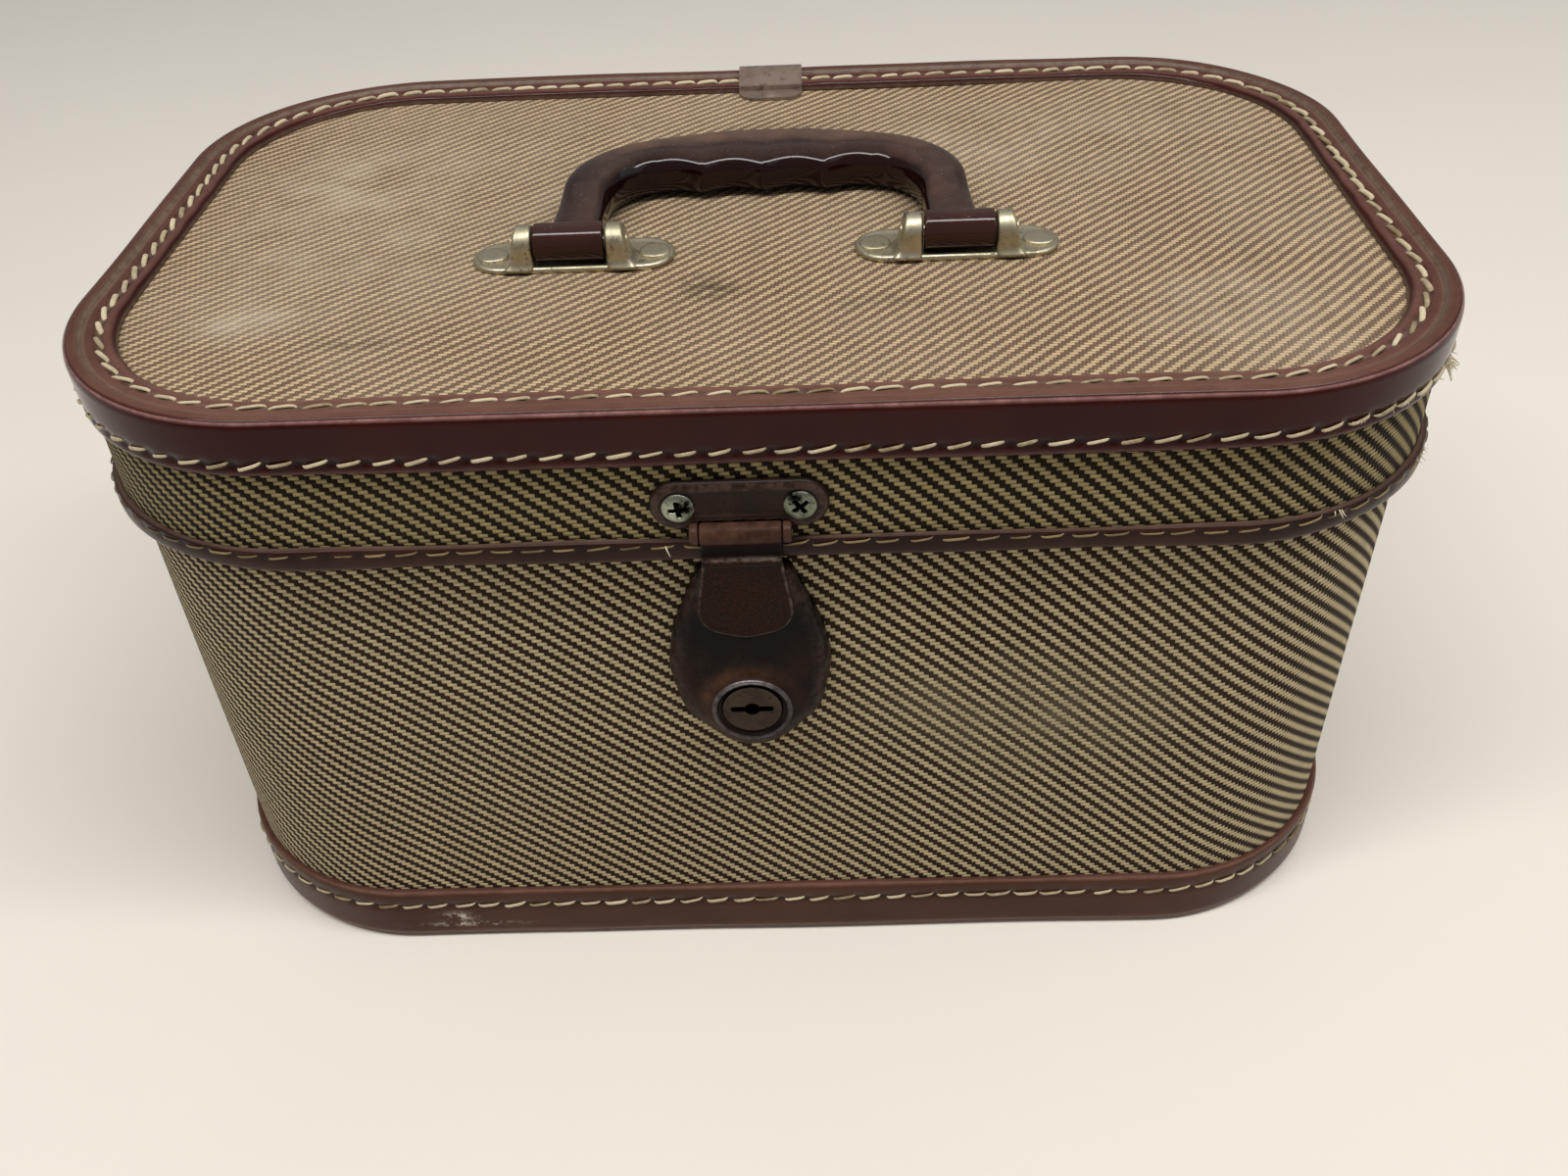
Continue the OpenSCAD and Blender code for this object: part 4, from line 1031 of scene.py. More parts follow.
@dataclass
class Seam:
    """Row of stitches along a binding and the furrow that it pulls."""

    name: str
    r: float
    z: float
    side: Side
    pitch: float = 7.53
    length: float = 6.3
    slant: float = 13.0
    thick: float = 0.52
    furrow: float = 0.5
    proud: float = 0.12
    soil: float = 0.45
    taut: float = 0.0
    dip: float = 0.95
    taper: float = 0.35
    flat: float = 0.78
    uneven: Uneven = Uneven()
    seed: int = 1
    sides: int = 8
    rings: int = 9

    def count(self) -> int:
        """Number of stitches round the case."""
        return round(PLAN.length(self.r) / self.pitch)

    def stitch(self, k: int, draw: np.random.Generator) -> Array:
        """Makes one stitch, a short round thread that dips at both ends.

        Args:
            k: Number of the stitch in its row.
            draw: Random draw of the row.

        Returns:
            The rings of the thread.
        """
        stray = self.uneven
        middle = (k + 0.5) * PLAN.length(self.r) / self.count() + draw.normal() * stray.place
        half = self.length / 2 * (1 + draw.normal() * stray.length)
        tilt = math.radians(self.slant + draw.normal() * stray.slant)
        t = np.linspace(-1, 1, self.rings)
        core, out = PLAN.at(self.r, middle + half * math.cos(tilt) * t)
        aside = half * math.sin(tilt) * t + draw.normal() * stray.aside
        bow = self.proud + draw.normal() * stray.proud - self.dip * np.abs(t) ** 5
        thin = self.thick * (1 - self.taper * np.abs(t) ** 4) * (1 + draw.normal() * stray.thick)
        thin *= 1 - self.taut * max(0.0, -out[self.rings // 2, 1]) ** 2
        outward = level(out, 0.0)
        upward = np.tile((0.0, 0.0, 1.0), (self.rings, 1))
        lift, spread = (outward, upward) if self.side is Side.WALL else (upward, -outward)
        line = level(core + self.r * out, self.z) + spread * aside[:, None] + lift * bow[:, None]
        a = turns(self.sides)
        wide = spread[:, None, :] * np.cos(a)[None, :, None]
        high = self.flat * lift[:, None, :] * np.sin(a)[None, :, None]
        return line[:, None, :] + thin[:, None, None] * (wide + high)

    def build(self, body: Body, finish: Finish) -> Piece:
        """Builds every stitch of the row.

        Args:
            body: CAD body that carries the row.
            finish: Material of the thread.

        Returns:
            One piece with all the stitches.
        """
        draw = np.random.default_rng(self.seed)
        lofts, soil = Lofts(), []
        for k in range(self.count()):
            lofts.add(self.stitch(k, draw))
            soil.append(np.clip(self.soil + draw.normal() * self.uneven.soil, 0, 1))
        piece = lofts.piece(self.name, body, Slot.BINDING)
        paint(piece, "soiled", np.repeat(soil, self.rings * self.sides))
        dress(piece, finish)
        return piece


@dataclass(frozen=True)
class Spot:
    """Place on a binding's profile where a mark runs: its reach and strength."""

    mark: str
    r: float
    z: float
    reach: float
    strength: float = 1.0


@dataclass(frozen=True)
class Scuff:
    """Pale rubbed patch on a binding: where it lies along the run and how high and wide it is."""

    run: float
    z: float
    half_run: float
    half_z: float


@dataclass
class Binding:
    """Leathercloth binding swept round the case, drawn in along its seams and closed behind.

    A share is what a furrow and the painted shade in it have between the stitch holes and what they gain
    at each hole.
    """

    name: str
    node: str
    body: Body
    r: float
    profile: Pairs
    back: Pairs
    seams: tuple[Seam, ...]
    spots: tuple[Spot, ...]
    scuffs: tuple[Scuff, ...] = ()
    wave: float = 0.18
    waves: int = 9
    lip: tuple[float, float, float] = (0.0, 0.0, 0.0)
    lip_waves: int = 40
    hole_half: float = 1.2
    furrow_half: float = 1.35
    furrow_share: Pair = (0.45, 0.9)
    shade_half: float = 0.9
    shade_share: Pair = (0.25, 0.75)
    side_dust: float = 1.0
    fine: float = 0.6
    step: float = 1.1
    seed: int = 3

    def build(self, finish: Finish, thread: Finish) -> list[Piece]:
        """Builds the swept binding and its rows of stitches.

        Args:
            finish: Material of the binding.
            thread: Material of the stitches.

        Returns:
            The binding and its rows.
        """
        front = refine(self.profile, self.fine)
        profile = np.concatenate([front, np.array(self.back)])
        shown = np.arange(len(profile)) < len(front)
        length = PLAN.length(self.r)
        run = np.linspace(0, length, round(length / self.step), endpoint=False)
        move, sunk = self.relief(profile, shown, run)
        slope = np.gradient(profile, axis=0)
        normal = np.stack([slope[:, 1], -slope[:, 0]], 1)
        normal /= np.linalg.norm(normal, axis=1)[:, None] + TINY
        shape = profile[None, :, :] + move[:, :, None] * normal[None, :, :]
        core, out = PLAN.at(self.r, run)
        flat = core[:, None, :] + shape[:, :, :1] * out[:, None, :]
        points = np.concatenate([flat, shape[:, :, 1:]], 2).reshape(-1, 3)
        faces = ring_faces(len(run), len(profile), loop=True)
        piece = mesh_piece(self.name, points, faces, self.body)
        # Painted shade: sunk holds how dark the furrows along the seams are painted.
        paint(piece, "sunk", sunk)
        self.mark(piece, profile, shown, run)
        dusty = self.side_dust + (1 - self.side_dust) * np.clip(-out[:, 1], 0, 1) ** 2
        paint(piece, "dusty", np.repeat(dusty, len(profile)))
        rows = [seam.build(self.body, thread) for seam in self.seams]
        return [stand_for(piece, self.node, finish), *rows]

    def relief(
        self, profile: Array, shown: Array, run: Array
    ) -> tuple[Array, Array]:
        """Works out the unevenness of the surface, pulled in along the seams, and the painted shade in
        the furrows.

        Args:
            profile: Profile of the binding.
            shown: Which profile points show.
            run: Distances along the binding.

        Returns:
            How far each point moves outward, and how much painted shade it gets in a furrow.
        """
        length = PLAN.length(self.r)
        move = np.outer(waves(run, length, self.seed, self.waves) * self.wave, shown)
        sunk = np.zeros_like(move)
        for seam in self.seams:
            off = np.hypot(profile[:, 0] - seam.r, profile[:, 1] - seam.z)
            beat = run * seam.count() / length
            hole = bell(np.abs(beat - np.round(beat)) * seam.pitch, self.hole_half)
            between, gain = self.furrow_share
            move -= seam.furrow * np.outer(between + gain * hole, shown * bell(off, self.furrow_half))
            # Painted shade in the furrow, darkest at each stitch hole.
            between, gain = self.shade_share
            dirt_and_shade = np.outer(between + gain * hole, shown * bell(off, self.shade_half))
            sunk = np.maximum(sunk, dirt_and_shade)
        lip_r, lip_z, lip_wave = self.lip
        near_lip = shown * bell(np.hypot(profile[:, 0] - lip_r, profile[:, 1] - lip_z), 1.0)
        move += np.outer(waves(run, length, self.seed + 1, self.lip_waves) * lip_wave, near_lip)
        return move, sunk

    def mark(self, piece: Piece, profile: Array, shown: Array, run: Array) -> None:
        """Paints the rubbed edges, one of which can be a painted highlight line, lint and scuffs on the
        swept mesh.

        Args:
            piece: The binding.
            profile: Its profile.
            shown: Which profile points show.
            run: Distances along it.
        """
        for mark in ("rubbed", "lint"):
            value = np.zeros(len(profile))
            for spot in (s for s in self.spots if s.mark == mark):
                off = np.hypot(profile[:, 0] - spot.r, profile[:, 1] - spot.z)
                value = np.maximum(value, spot.strength * shown * bell(off, spot.reach))
            paint(piece, mark, np.tile(value, len(run)))
        scuffed = np.zeros((len(run), len(profile)))
        for scuff in self.scuffs:
            high = shown * bell(profile[:, 1] - scuff.z, scuff.half_z)
            scuffed += np.outer(bell(run - scuff.run, scuff.half_run), high)
        paint(piece, "scuffed", np.clip(scuffed, 0, 1))


@dataclass(frozen=True)
class Patch:
    """Round patch of wear on cloth: its middle on the cloth, its reach each way and its strength."""

    a: float
    b: float
    reach_a: float
    reach_b: float
    strength: float

    def at(self, a: Array, b: Array) -> Array:
        """Strength of the patch at places on the cloth."""
        off = ((a - self.a) / self.reach_a) ** 2 + ((b - self.b) / self.reach_b) ** 2
        return self.strength * np.exp(-off)


def wear(patches: tuple[Patch, ...], a: Array, b: Array) -> Array:
    """Wear of all the patches together at places on the cloth."""
    return np.clip(sum((patch.at(a, b) for patch in patches), np.zeros(len(a))), 0, 1)


@dataclass
class WallCloth:
    """Cloth drawn round the upright walls of the base or the lid, closed behind."""

    name: str
    node: str
    body: Body
    r: float
    profile: Pairs
    back: Pairs
    faded: tuple[Patch, ...] = ()
    wave: float = 0.2
    waves: int = 5
    fine: float = 5.0
    step: float = 2.5
    seed: int = 5

    def build(self, finish: Finish) -> Piece:
        """Builds the cloth with its map running round the corners from a seam at the rear.

        Args:
            finish: Material of the cloth.

        Returns:
            The piece.
        """
        front = refine(self.profile, self.fine)
        profile = np.concatenate([front, np.array(self.back)])
        length = PLAN.length(self.r)
        run = np.linspace(0, length, round(length / self.step) + 1)
        core, out = PLAN.at(self.r, run)
        low, high = front[:, 1].min(), front[:, 1].max()
        swell = np.sin(math.pi * (profile[:, 1] - low) / (high - low))
        swell[len(front) :] = 0
        uneven = waves(run, length, self.seed, self.waves) * self.wave
        reach = profile[None, :, 0] + np.outer(uneven, swell)
        flat = core[:, None, :] + reach[:, :, None] * out[:, None, :]
        tall = np.broadcast_to(profile[None, :, 1:], (*reach.shape, 1))
        points = np.concatenate([flat, tall], 2).reshape(-1, 3)
        faces = ring_faces(len(run), len(profile))
        piece = mesh_piece(self.name, points, faces, self.body)
        a, b = np.repeat(run, len(profile)), np.tile(along(profile), len(run))
        map_cloth(piece, np.stack([a, b], 1))
        paint(piece, "faded", wear(self.faded, a, points[:, 2]))
        return stand_for(piece, self.node, finish)


@dataclass
class LidTop:
    """Cloth over the lid top, slightly uneven under the edge binding."""

    name: str = "lid_top_cloth"
    node: str = "lid_top_covering"
    r: float = 59.5
    z: float = 181.0
    thick: float = 0.7
    hollow: float = 0.22
    hollow_x: Pair = (31.0, 0.6)
    hollow_y: Pair = (24.0, 1.1)
    ripple: float = 0.1
    ripple_xy: Pair = (13.0, 17.0)
    slack: float = 6.0
    least: float = 0.02
    rows: int = 60
    count: int = 260
    faded: tuple[Patch, ...] = (
        Patch(-118, -10, 34, 44, 0.35),
        Patch(-129, -53, 10, 7, 0.8),
        Patch(-122, 34, 22, 24, 0.4),
        Patch(-70, 30, 60, 40, 0.3),
        Patch(80, 46, 60, 34, 0.35),
        Patch(120, -60, 30, 24, 0.4),
    )
    grime: tuple[Patch, ...] = (
        Patch(-11, -44, 7, 5, 0.9),
        Patch(-16, -38, 3, 3, 0.7),
        Patch(30, -52, 8, 2.5, 0.6),
        Patch(-96, -66, 10, 2.5, 0.55),
        Patch(4, 62, 16, 3, 0.5),
    )

    def uneven(self, x: Array, y: Array) -> Array:
        """Works out the shallow hollows and ripples.

        Args:
            x: Places across the lid.
            y: Places along its depth.

        Returns:
            Height at each place.
        """
        (long_x, start_x), (long_y, start_y) = self.hollow_x, self.hollow_y
        hollow = self.hollow * np.sin(x / long_x + start_x) * np.sin(y / long_y + start_y)
        return hollow + self.ripple * np.sin(x / self.ripple_xy[0] - y / self.ripple_xy[1])

    def build(self, finish: Finish) -> Piece:
        """Builds the cloth as rings drawn in towards the middle, over a flat underside.

        Args:
            finish: Material of the cloth.

        Returns:
            The piece.
        """
        run = np.linspace(0, PLAN.length(self.r), self.count, endpoint=False)
        core, out = PLAN.at(self.r, run)
        share = np.concatenate([[1.0], np.linspace(1.0, self.least, self.rows)])
        flat = share[:, None, None] * (core + self.r * out)[None, :, :]
        slack = np.clip((1 - share) * self.slack, 0, 1)[:, None]
        z = self.z + self.uneven(flat[..., 0], flat[..., 1]) * slack
        z[0] -= self.thick
        points = np.concatenate([flat, z[..., None]], 2).reshape(-1, 3)
        faces = ring_faces(self.rows + 1, self.count)
        piece = mesh_piece(self.name, points, faces, Body.LID)
        map_cloth(piece, points[:, :2])
        paint(piece, "faded", wear(self.faded, points[:, 0], points[:, 1]))
        paint(piece, "grime", wear(self.grime, points[:, 0], points[:, 1]))
        return stand_for(piece, self.node, finish)


@dataclass(frozen=True)
class Tuft:
    """Loose thread ends at one place on a binding: where, how many, how long and how far they spread."""

    run: float
    r: float
    z: float
    count: int
    length: float
    spread: float = 2.0
    droop: float = 0.5
    thick: float = 0.14


@dataclass
class Frays:
    """Frayed ends of thread along the worn bindings of the lid."""

    name: str = "frayed_threads"
    stray: float = 0.25
    fan: Pair = (0.8, 0.5)
    curl: float = 0.5
    bend: float = 0.7
    shortest: float = 0.45
    taper: Pair = (1.05, 0.75)
    sides: int = 5
    rings: int = 8
    seed: int = 41
    tufts: tuple[Tuft, ...] = (
        Tuft(PLAN.right_corner(LID_BINDING_R, 62), 61.4, 170.3, 12, 4.0, 1.3, 0.5, 0.42),
        Tuft(PLAN.right_corner(LID_BINDING_R, 70), 61.4, 170.8, 9, 2.6, 3.0, 0.3, 0.22),
        Tuft(PLAN.right_corner(LID_BINDING_R, 80), 61.4, 171.3, 8, 2.2, 3.0, 0.2, 0.22),
        Tuft(PLAN.right_corner(LID_BINDING_R, 50), 61.7, 173.2, 5, 2.5, 3.0, 0.2),
        Tuft(PLAN.right_corner(LID_BINDING_R, 36), 61.7, 173.2, 5, 2.2, 3.0, 0.2),
        Tuft(PLAN.right_corner(LID_BINDING_R, 22), 61.7, 173.2, 4, 2.0, 3.0, 0.2),
        Tuft(PLAN.right_corner(LID_BINDING_R, 58), 61.5, 147.2, 7, 2.6, 2.0, 0.3, 0.22),
        Tuft(PLAN.right_corner(LID_BINDING_R, 24), 61.5, 148.0, 3, 3.0, 1.5, -0.2, 0.22),
        Tuft(PLAN.front(LID_BINDING_R, -22.5), 61.7, 147.2, 1, 4.5, 0.5, 0.9, 0.26),
    )

    def strand(self, tuft: Tuft, draw: np.random.Generator) -> Array:
        """Makes one loose end, a thin bent tube.

        Args:
            tuft: The tuft that it belongs to.
            draw: Random draw of all the ends.

        Returns:
            The rings of the tube.
        """
        core, out = PLAN.at(tuft.r, np.array([tuft.run + draw.normal() * tuft.spread]))
        start = np.array([*(core[0] + tuft.r * out[0]), tuft.z + draw.normal() * self.stray])
        outward, aside = np.array([*out[0], 0.0]), np.array([-out[0][1], out[0][0], 0.0])
        fan, tilt = self.fan
        way = outward + aside * draw.normal() * fan + np.array([0, 0, draw.normal() * tilt])
        way /= np.linalg.norm(way)
        bend = aside * draw.normal() * self.curl - np.array([0, 0, tuft.droop])
        long = tuft.length * draw.uniform(self.shortest, 1.0)
        t, a = np.linspace(0, 1, self.rings), turns(self.sides)
        line = start + long * (np.outer(t, way) + np.outer(t**2, bend) * self.bend)
        lift = np.cross(way, aside)
        thick, taper = self.taper
        thin = tuft.thick * (thick - taper * t)
        ring = np.outer(np.cos(a), aside) + np.outer(np.sin(a), lift / np.linalg.norm(lift))
        return line[:, None, :] + thin[:, None, None] * ring[None, :, :]

    def build(self, finish: Finish) -> Piece:
        """Builds every loose end.

        Args:
            finish: Material of the thread.

        Returns:
            One piece with all the ends.
        """
        draw = np.random.default_rng(self.seed)
        lofts = Lofts()
        for tuft in self.tufts:
            for _ in range(tuft.count):
                lofts.add(self.strand(tuft, draw))
        piece = lofts.piece(self.name, Body.LID, Slot.BINDING)
        dress(piece, finish)
        return piece


@dataclass
class Handle:
    """Moulded handle: two barrels, two arms and a grip with finger grooves, lofted from ovals."""

    x: float = 1.8
    axis: Pair = (-27.3, 187.6)
    bracket_x: float = 50.3
    barrel_r: float = 5.0
    barrel_half: float = 9.0
    arm_in: float = 42.3
    arm_out: float = 54.8
    arm_lean: float = 1.0
    grip_half: float = 29.75
    inner_corner: float = 12.55
    inner_drop: float = 18.0
    inner_reach: float = 36.3
    crown_reach: float = 60.9
    crown_r: float = 90.0
    shoulder_r: float = 30.0
    groove_pitch: float = 17.0
    groove_depth: float = 2.7
    groove_soft: float = 0.003
    half_thick: float = 6.2
    root_thick: float = 4.6
    root_reach: float = 12.6
    blend: float = 14.0
    inner_power: float = 2.8
    outer_power: float = 3.6
    film: Pair = (0.12, 0.25)
    film_ends: Pair = (0.6, 0.95)
    wiped: float = 0.8
    wiped_ends: Pair = (0.6, 0.9)
    wiped_edge: float = 0.2
    arm_rows: int = 18
    shoulder_rows: int = 26
    grip_rows: int = 57
    ring: int = 64

    def shoulder(self) -> Pair:
        """Fits the arc of the shoulder between the arm and the crown.

        Returns:
            Reach of the arc's middle, and the angle at which it meets the crown.
        """
        far, side = self.crown_r - self.shoulder_r, self.arm_out - self.shoulder_r
        rise = math.sqrt(far**2 - side**2)
        return self.crown_reach - self.crown_r + rise, math.atan2(rise, side)

    def edge(self, x: float) -> float:
        """Reach of the inner edge at a distance from the middle, with its finger grooves."""
        wave = math.sqrt(math.sin(math.pi * x / self.groove_pitch) ** 2 + self.groove_soft)
        return self.inner_reach + self.groove_depth * (wave - math.sqrt(self.groove_soft))

    def thick(self, reach: float) -> float:
        """Half thickness at a reach from the pivot."""
        t = min(1.0, max(0.0, (reach - self.root_reach) / self.blend))
        return self.root_thick + (self.half_thick - self.root_thick) * t * t * (3 - 2 * t)

    def stations(self) -> list[tuple[Pair, Pair, float]]:
        """Lays out the right half of the grip, from its barrel to the middle.

        Returns:
            Inner point, outer point and half thickness of each station.
        """
        made = []
        arm_low = self.inner_reach - self.inner_drop
        middle, meet = self.shoulder()
        for v in np.linspace(0, 1, self.arm_rows, endpoint=False):
            outer = (self.arm_out + self.arm_lean * (1 - v) ** 2, v * middle)
            made.append(((self.arm_in, v * arm_low), outer, self.thick(v * (arm_low + middle) / 2)))
        rise = self.edge(self.grip_half) - self.inner_reach
        for share in np.linspace(0, 1, self.shoulder_rows, endpoint=False):
            c, s = math.cos(share * math.pi / 2), math.sin(share * math.pi / 2)
            reach = self.inner_reach - self.inner_drop * (1 - s) + share * rise
            inner = (self.grip_half + self.inner_corner * c, reach)
            turn = share * meet
            side = self.arm_out - self.shoulder_r * (1 - math.cos(turn))
            outer = (side, middle + self.shoulder_r * math.sin(turn))
            made.append((inner, outer, self.thick((inner[1] + outer[1]) / 2)))
        for x in np.linspace(self.grip_half, 0, self.grip_rows):
            turn = math.pi / 2 - (math.pi / 2 - meet) * x / self.grip_half
            across = self.crown_r * math.cos(turn)
            outer = (across, self.crown_reach - self.crown_r * (1 - math.sin(turn)))
            made.append(((x, self.edge(x)), outer, self.half_thick))
        return made

    def section(self) -> tuple[Array, Array]:
        """Makes a unit section of the grip, rounder on the side that the fingers hold.

        Returns:
            Its places outward and upward.
        """
        c, s = unit(turns(self.ring)).T
        bend = 2 / np.where(c < 0, self.inner_power, self.outer_power)
        return np.sign(c) * np.abs(c) ** bend, np.sign(s) * np.abs(s) ** bend

    def rings(self) -> Array:
        """Makes the oval sections of the whole grip, from the right barrel round to the left one.

        Returns:
            The rings of points.
        """
        half = self.stations()
        both = half + [((-i[0], i[1]), (-o[0], o[1]), t) for i, o, t in half[-2::-1]]
        c, s = self.section()
        made = []
        for inner, outer, thick in both:
            inner, outer = np.array(inner), np.array(outer)
            flat = (inner + outer) / 2 + np.outer(c, (outer - inner) / 2)
            made.append(np.column_stack([flat, thick * s]))
        return np.array(made) + (self.x, *self.axis)

    def dust(self, points: Array) -> Array:
        """Works out the film of dust, thin on the arms and wiped off where fingers hold the grip.

        Args:
            points: Points of the grip.

        Returns:
            Share of the film on each point.
        """
        across = (points[:, 0] - self.x) / self.arm_out
        (left, right), (near, far) = self.film, self.film_ends
        film = np.interp(across, (-far, -near, near, far), (left, 1.0, 1.0, right))
        outward = np.tile(self.section()[0], len(across) // self.ring)
        outer = np.clip((outward + self.wiped_edge) / (2 * self.wiped_edge), 0, 1)
        wiped = self.wiped * np.interp(np.abs(across), self.wiped_ends, (1.0, 0.0)) * (1 - outer)
        return film * (1 - wiped)

    def build(self, finish: Finish, rubbed: Finish) -> list[Piece]:
        """Builds the grip and its two barrels.

        Args:
            finish: Material of the grip.
            rubbed: Material of the barrels.

        Returns:
            The pieces.
        """
        grip, drums = Lofts(), Lofts()
        grip.add(self.rings())
        for side in (-1, 1):
            x = self.x + side * self.bracket_x
            drums.add(barrel(x, self.barrel_half, self.barrel_r, self.axis, self.ring))
        moulding = grip.piece("handle_moulding", Body.HANDLE, Slot.HANDLE)
        paint(moulding, "film", self.dust(np.concatenate(grip.points)))
        barrels = drums.piece("handle_barrels", Body.HANDLE, Slot.HANDLE)
        paint(barrels, "film", np.ones(drums.size))
        dress(barrels, rubbed)
        return [stand_for(moulding, "handle_grip", finish), barrels]


@dataclass
class Bracket:
    """Plated bracket pressed from sheet: a round-ended plate with a raised rim and two ears."""

    name: str
    node: str
    x: float
    plate_y: float = -23.5
    pin_y: float = -27.3
    low: float = 181.0
    half: float = 18.2
    r: float = 8.5
    rim: Pairs = (
        (0.0, 0.0), (0.0, 0.85), (0.15, 1.3), (0.5, 1.56), (0.95, 1.65), (1.45, 1.62), (1.95, 1.5),
        (2.5, 1.41), (3.2, 1.4), (5.0, 1.4),
    )
    ear_in: float = 9.3
    ear_foot: float = 6.9
    ear_top: float = 4.8
    ear_half: float = 4.7
    ear_low: float = 1.0
    ear_high: float = 11.3
    ear_power: float = 5.0
    ear_rows: int = 10
    arch: tuple[float, ...] = (12, 24, 36, 48, 58, 68, 76, 83, 88)
    edge: float = 1.2
    flare: float = 1.8
    flare_reach: float = 0.25
    flare_tall: float = 0.6
    ring: int = 64

    def ear(self, side: int) -> Array:
        """Makes one ear, flared at its foot and arched over the pin.

        Args:
            side: -1 for the left ear, 1 for the right one.

        Returns:
            Its rings.
        """
        c, s = soft_square(self.ring, self.ear_power)
        pin = self.ear_high - self.ear_half
        over_pin = pin + self.ear_half * np.sin(np.radians(self.arch))
        made = []
        for z in np.concatenate([np.linspace(self.ear_low, pin, self.ear_rows), over_pin]):
            over = max(0.0, z - pin) / self.ear_half
            bow = math.sqrt(1 - over * over)
            t = (z - self.ear_low) / (self.ear_high - self.ear_low)
            flare = self.flare * max(0.0, 1 - t / self.flare_reach) ** 2
            deep = self.ear_foot + (self.ear_top - self.ear_foot) * t + flare
            wide = deep / 2 - self.edge * (1 - bow) ** 2
            tall = self.ear_half * bow + flare * self.flare_tall
            flat = np.stack([side * (self.ear_in + deep / 2) + wide * c, tall * s], 1)
            made.append(level(flat, z))
        return np.array(made) + (self.x, self.pin_y, self.low)

    def build(self, finish: Finish) -> Piece:
        """Builds the plate and its ears.

        Args:
            finish: Material of the plating.

        Returns:
            The piece.
        """
        lofts = Lofts()
        circles = ((-self.half, 0.0, self.r), (self.half, 0.0, self.r))
        ways = turns(self.ring, math.pi / self.ring)
        rings = [level(lace(circles, ways, d), h) for d, h in self.rim]
        lofts.add(np.array(rings) + (self.x, self.plate_y, self.low))
        for side in (-1, 1):
            lofts.add(self.ear(side))
        return stand_for(lofts.piece(self.name, Body.LID, Slot.NICKEL), self.node, finish)


@dataclass
class RivetHeads:
    """The four bracket rivets: clinched tail inside the lid, shank and flat round head."""

    middles: Pair
    reach: float = 21.45
    y: float = -23.5
    low: float = 182.3
    tail: Pairs = (
        (1.0, -5.9), (2.3, -5.88), (2.85, -5.78), (3.12, -5.6), (3.18, -5.1), (2.0, -5.1), (2.0, 0.0),
    )
    head: Pairs = ((4.1, 0.0), (4.1, 0.4), (3.95, 0.62), (3.6, 0.74), (3.0, 0.78), (2.0, 0.8), (1.0, 0.8))
    ring: int = 48

    def build(self, finish: Finish) -> Piece:
        """Builds the rivets.

        Args:
            finish: Material of the plating.

        Returns:
            The piece.
        """
        lofts, around = Lofts(), unit(turns(self.ring))
        rings = np.array([level(r * around, h) for r, h in self.tail + self.head])
        for x in [m + side * self.reach for m in self.middles for side in (-1, 1)]:
            lofts.add(rings + (x, self.y, self.low))
        piece = lofts.piece("bracket_rivet_heads", Body.LID, Slot.NICKEL)
        return stand_for(piece, "bracket_rivets", finish)


@dataclass
class HaspPlate:
    """Round-ended plate on the lid with a pressed border, notched below for the hasp."""

    x: float = LATCH_X
    face_y: float = -104.0
    mid_z: float = 158.5
    half: float = 14.25
    r: float = 6.5
    border: Pairs = (
        (0.3, 0.0), (0.0, 0.3), (0.0, 0.8), (0.2, 1.35), (0.7, 1.8), (1.4, 2.05), (2.1, 2.05),
        (2.7, 1.92), (3.2, 1.82), (3.8, 1.8), (5.0, 1.8),
    )
    rub_band: Pair = (0.3, 2.5)
    rub: float = 0.6
    axis: Pair = HASP_AXIS
    knuckle_r: float = HASP_KNUCKLE_R
    knuckle_in: float = 9.8
    knuckle_out: float = 11.8
    knuckle_edge: float = 0.4
    notch_half: float = 9.65
    notch_top: float = -4.0
    notch_draw: float = 0.15
    end: int = 33
    ring: int = 64

    def outline(self, inset: float) -> Array:
        """Draws the outline moved inward, notched below for the tongue's knuckle.

        Args:
            inset: Distance inward.

        Returns:
            Its points, in two columns.
        """
        r, draw = self.r - inset, self.notch_draw * inset
        right = np.array((self.half, 0.0)) + r * unit(np.linspace(-math.pi / 2, math.pi / 2, self.end))
        half, top = self.notch_half + draw, max(self.notch_top + draw, -r)
        notch = np.array([(-half, -r), (-half, top), (half, top), (half, -r)])
        return np.concatenate([right, right[::-1] * (-1, 1), notch])

    def build(self, finish: Finish) -> Piece:
        """Builds the plate and its knuckles.

        Args:
            finish: Material of the lacquered steel.

        Returns:
            The piece.
        """
        lofts = Lofts()
        rings = [upright(self.outline(d), self.x, self.face_y - h, self.mid_z) for d, h in self.border]
        lofts.add(np.array(rings))
        on_plate = lofts.size
        half = (self.knuckle_out - self.knuckle_in) / 2
        for side in (-1, 1):
            x = self.x + side * (self.knuckle_in + self.knuckle_out) / 2
            lofts.add(barrel(x, half, self.knuckle_r, self.axis, self.ring, self.knuckle_edge))
        on_knuckles = lofts.size - on_plate
        piece = lofts.piece("hasp_plate_pressing", Body.LID, Slot.ENAMEL)
        low, high = self.rub_band
        rubbed = [self.rub if low < d < high else 0.0 for d, _ in self.border]
        paint(piece, "rubbed", np.concatenate([np.repeat(rubbed, len(rings[0])), np.zeros(on_knuckles)]))
        paint(piece, "ruddy", np.concatenate([np.zeros(on_plate), np.ones(on_knuckles)]))
        return stand_for(piece, "hasp_plate", finish)


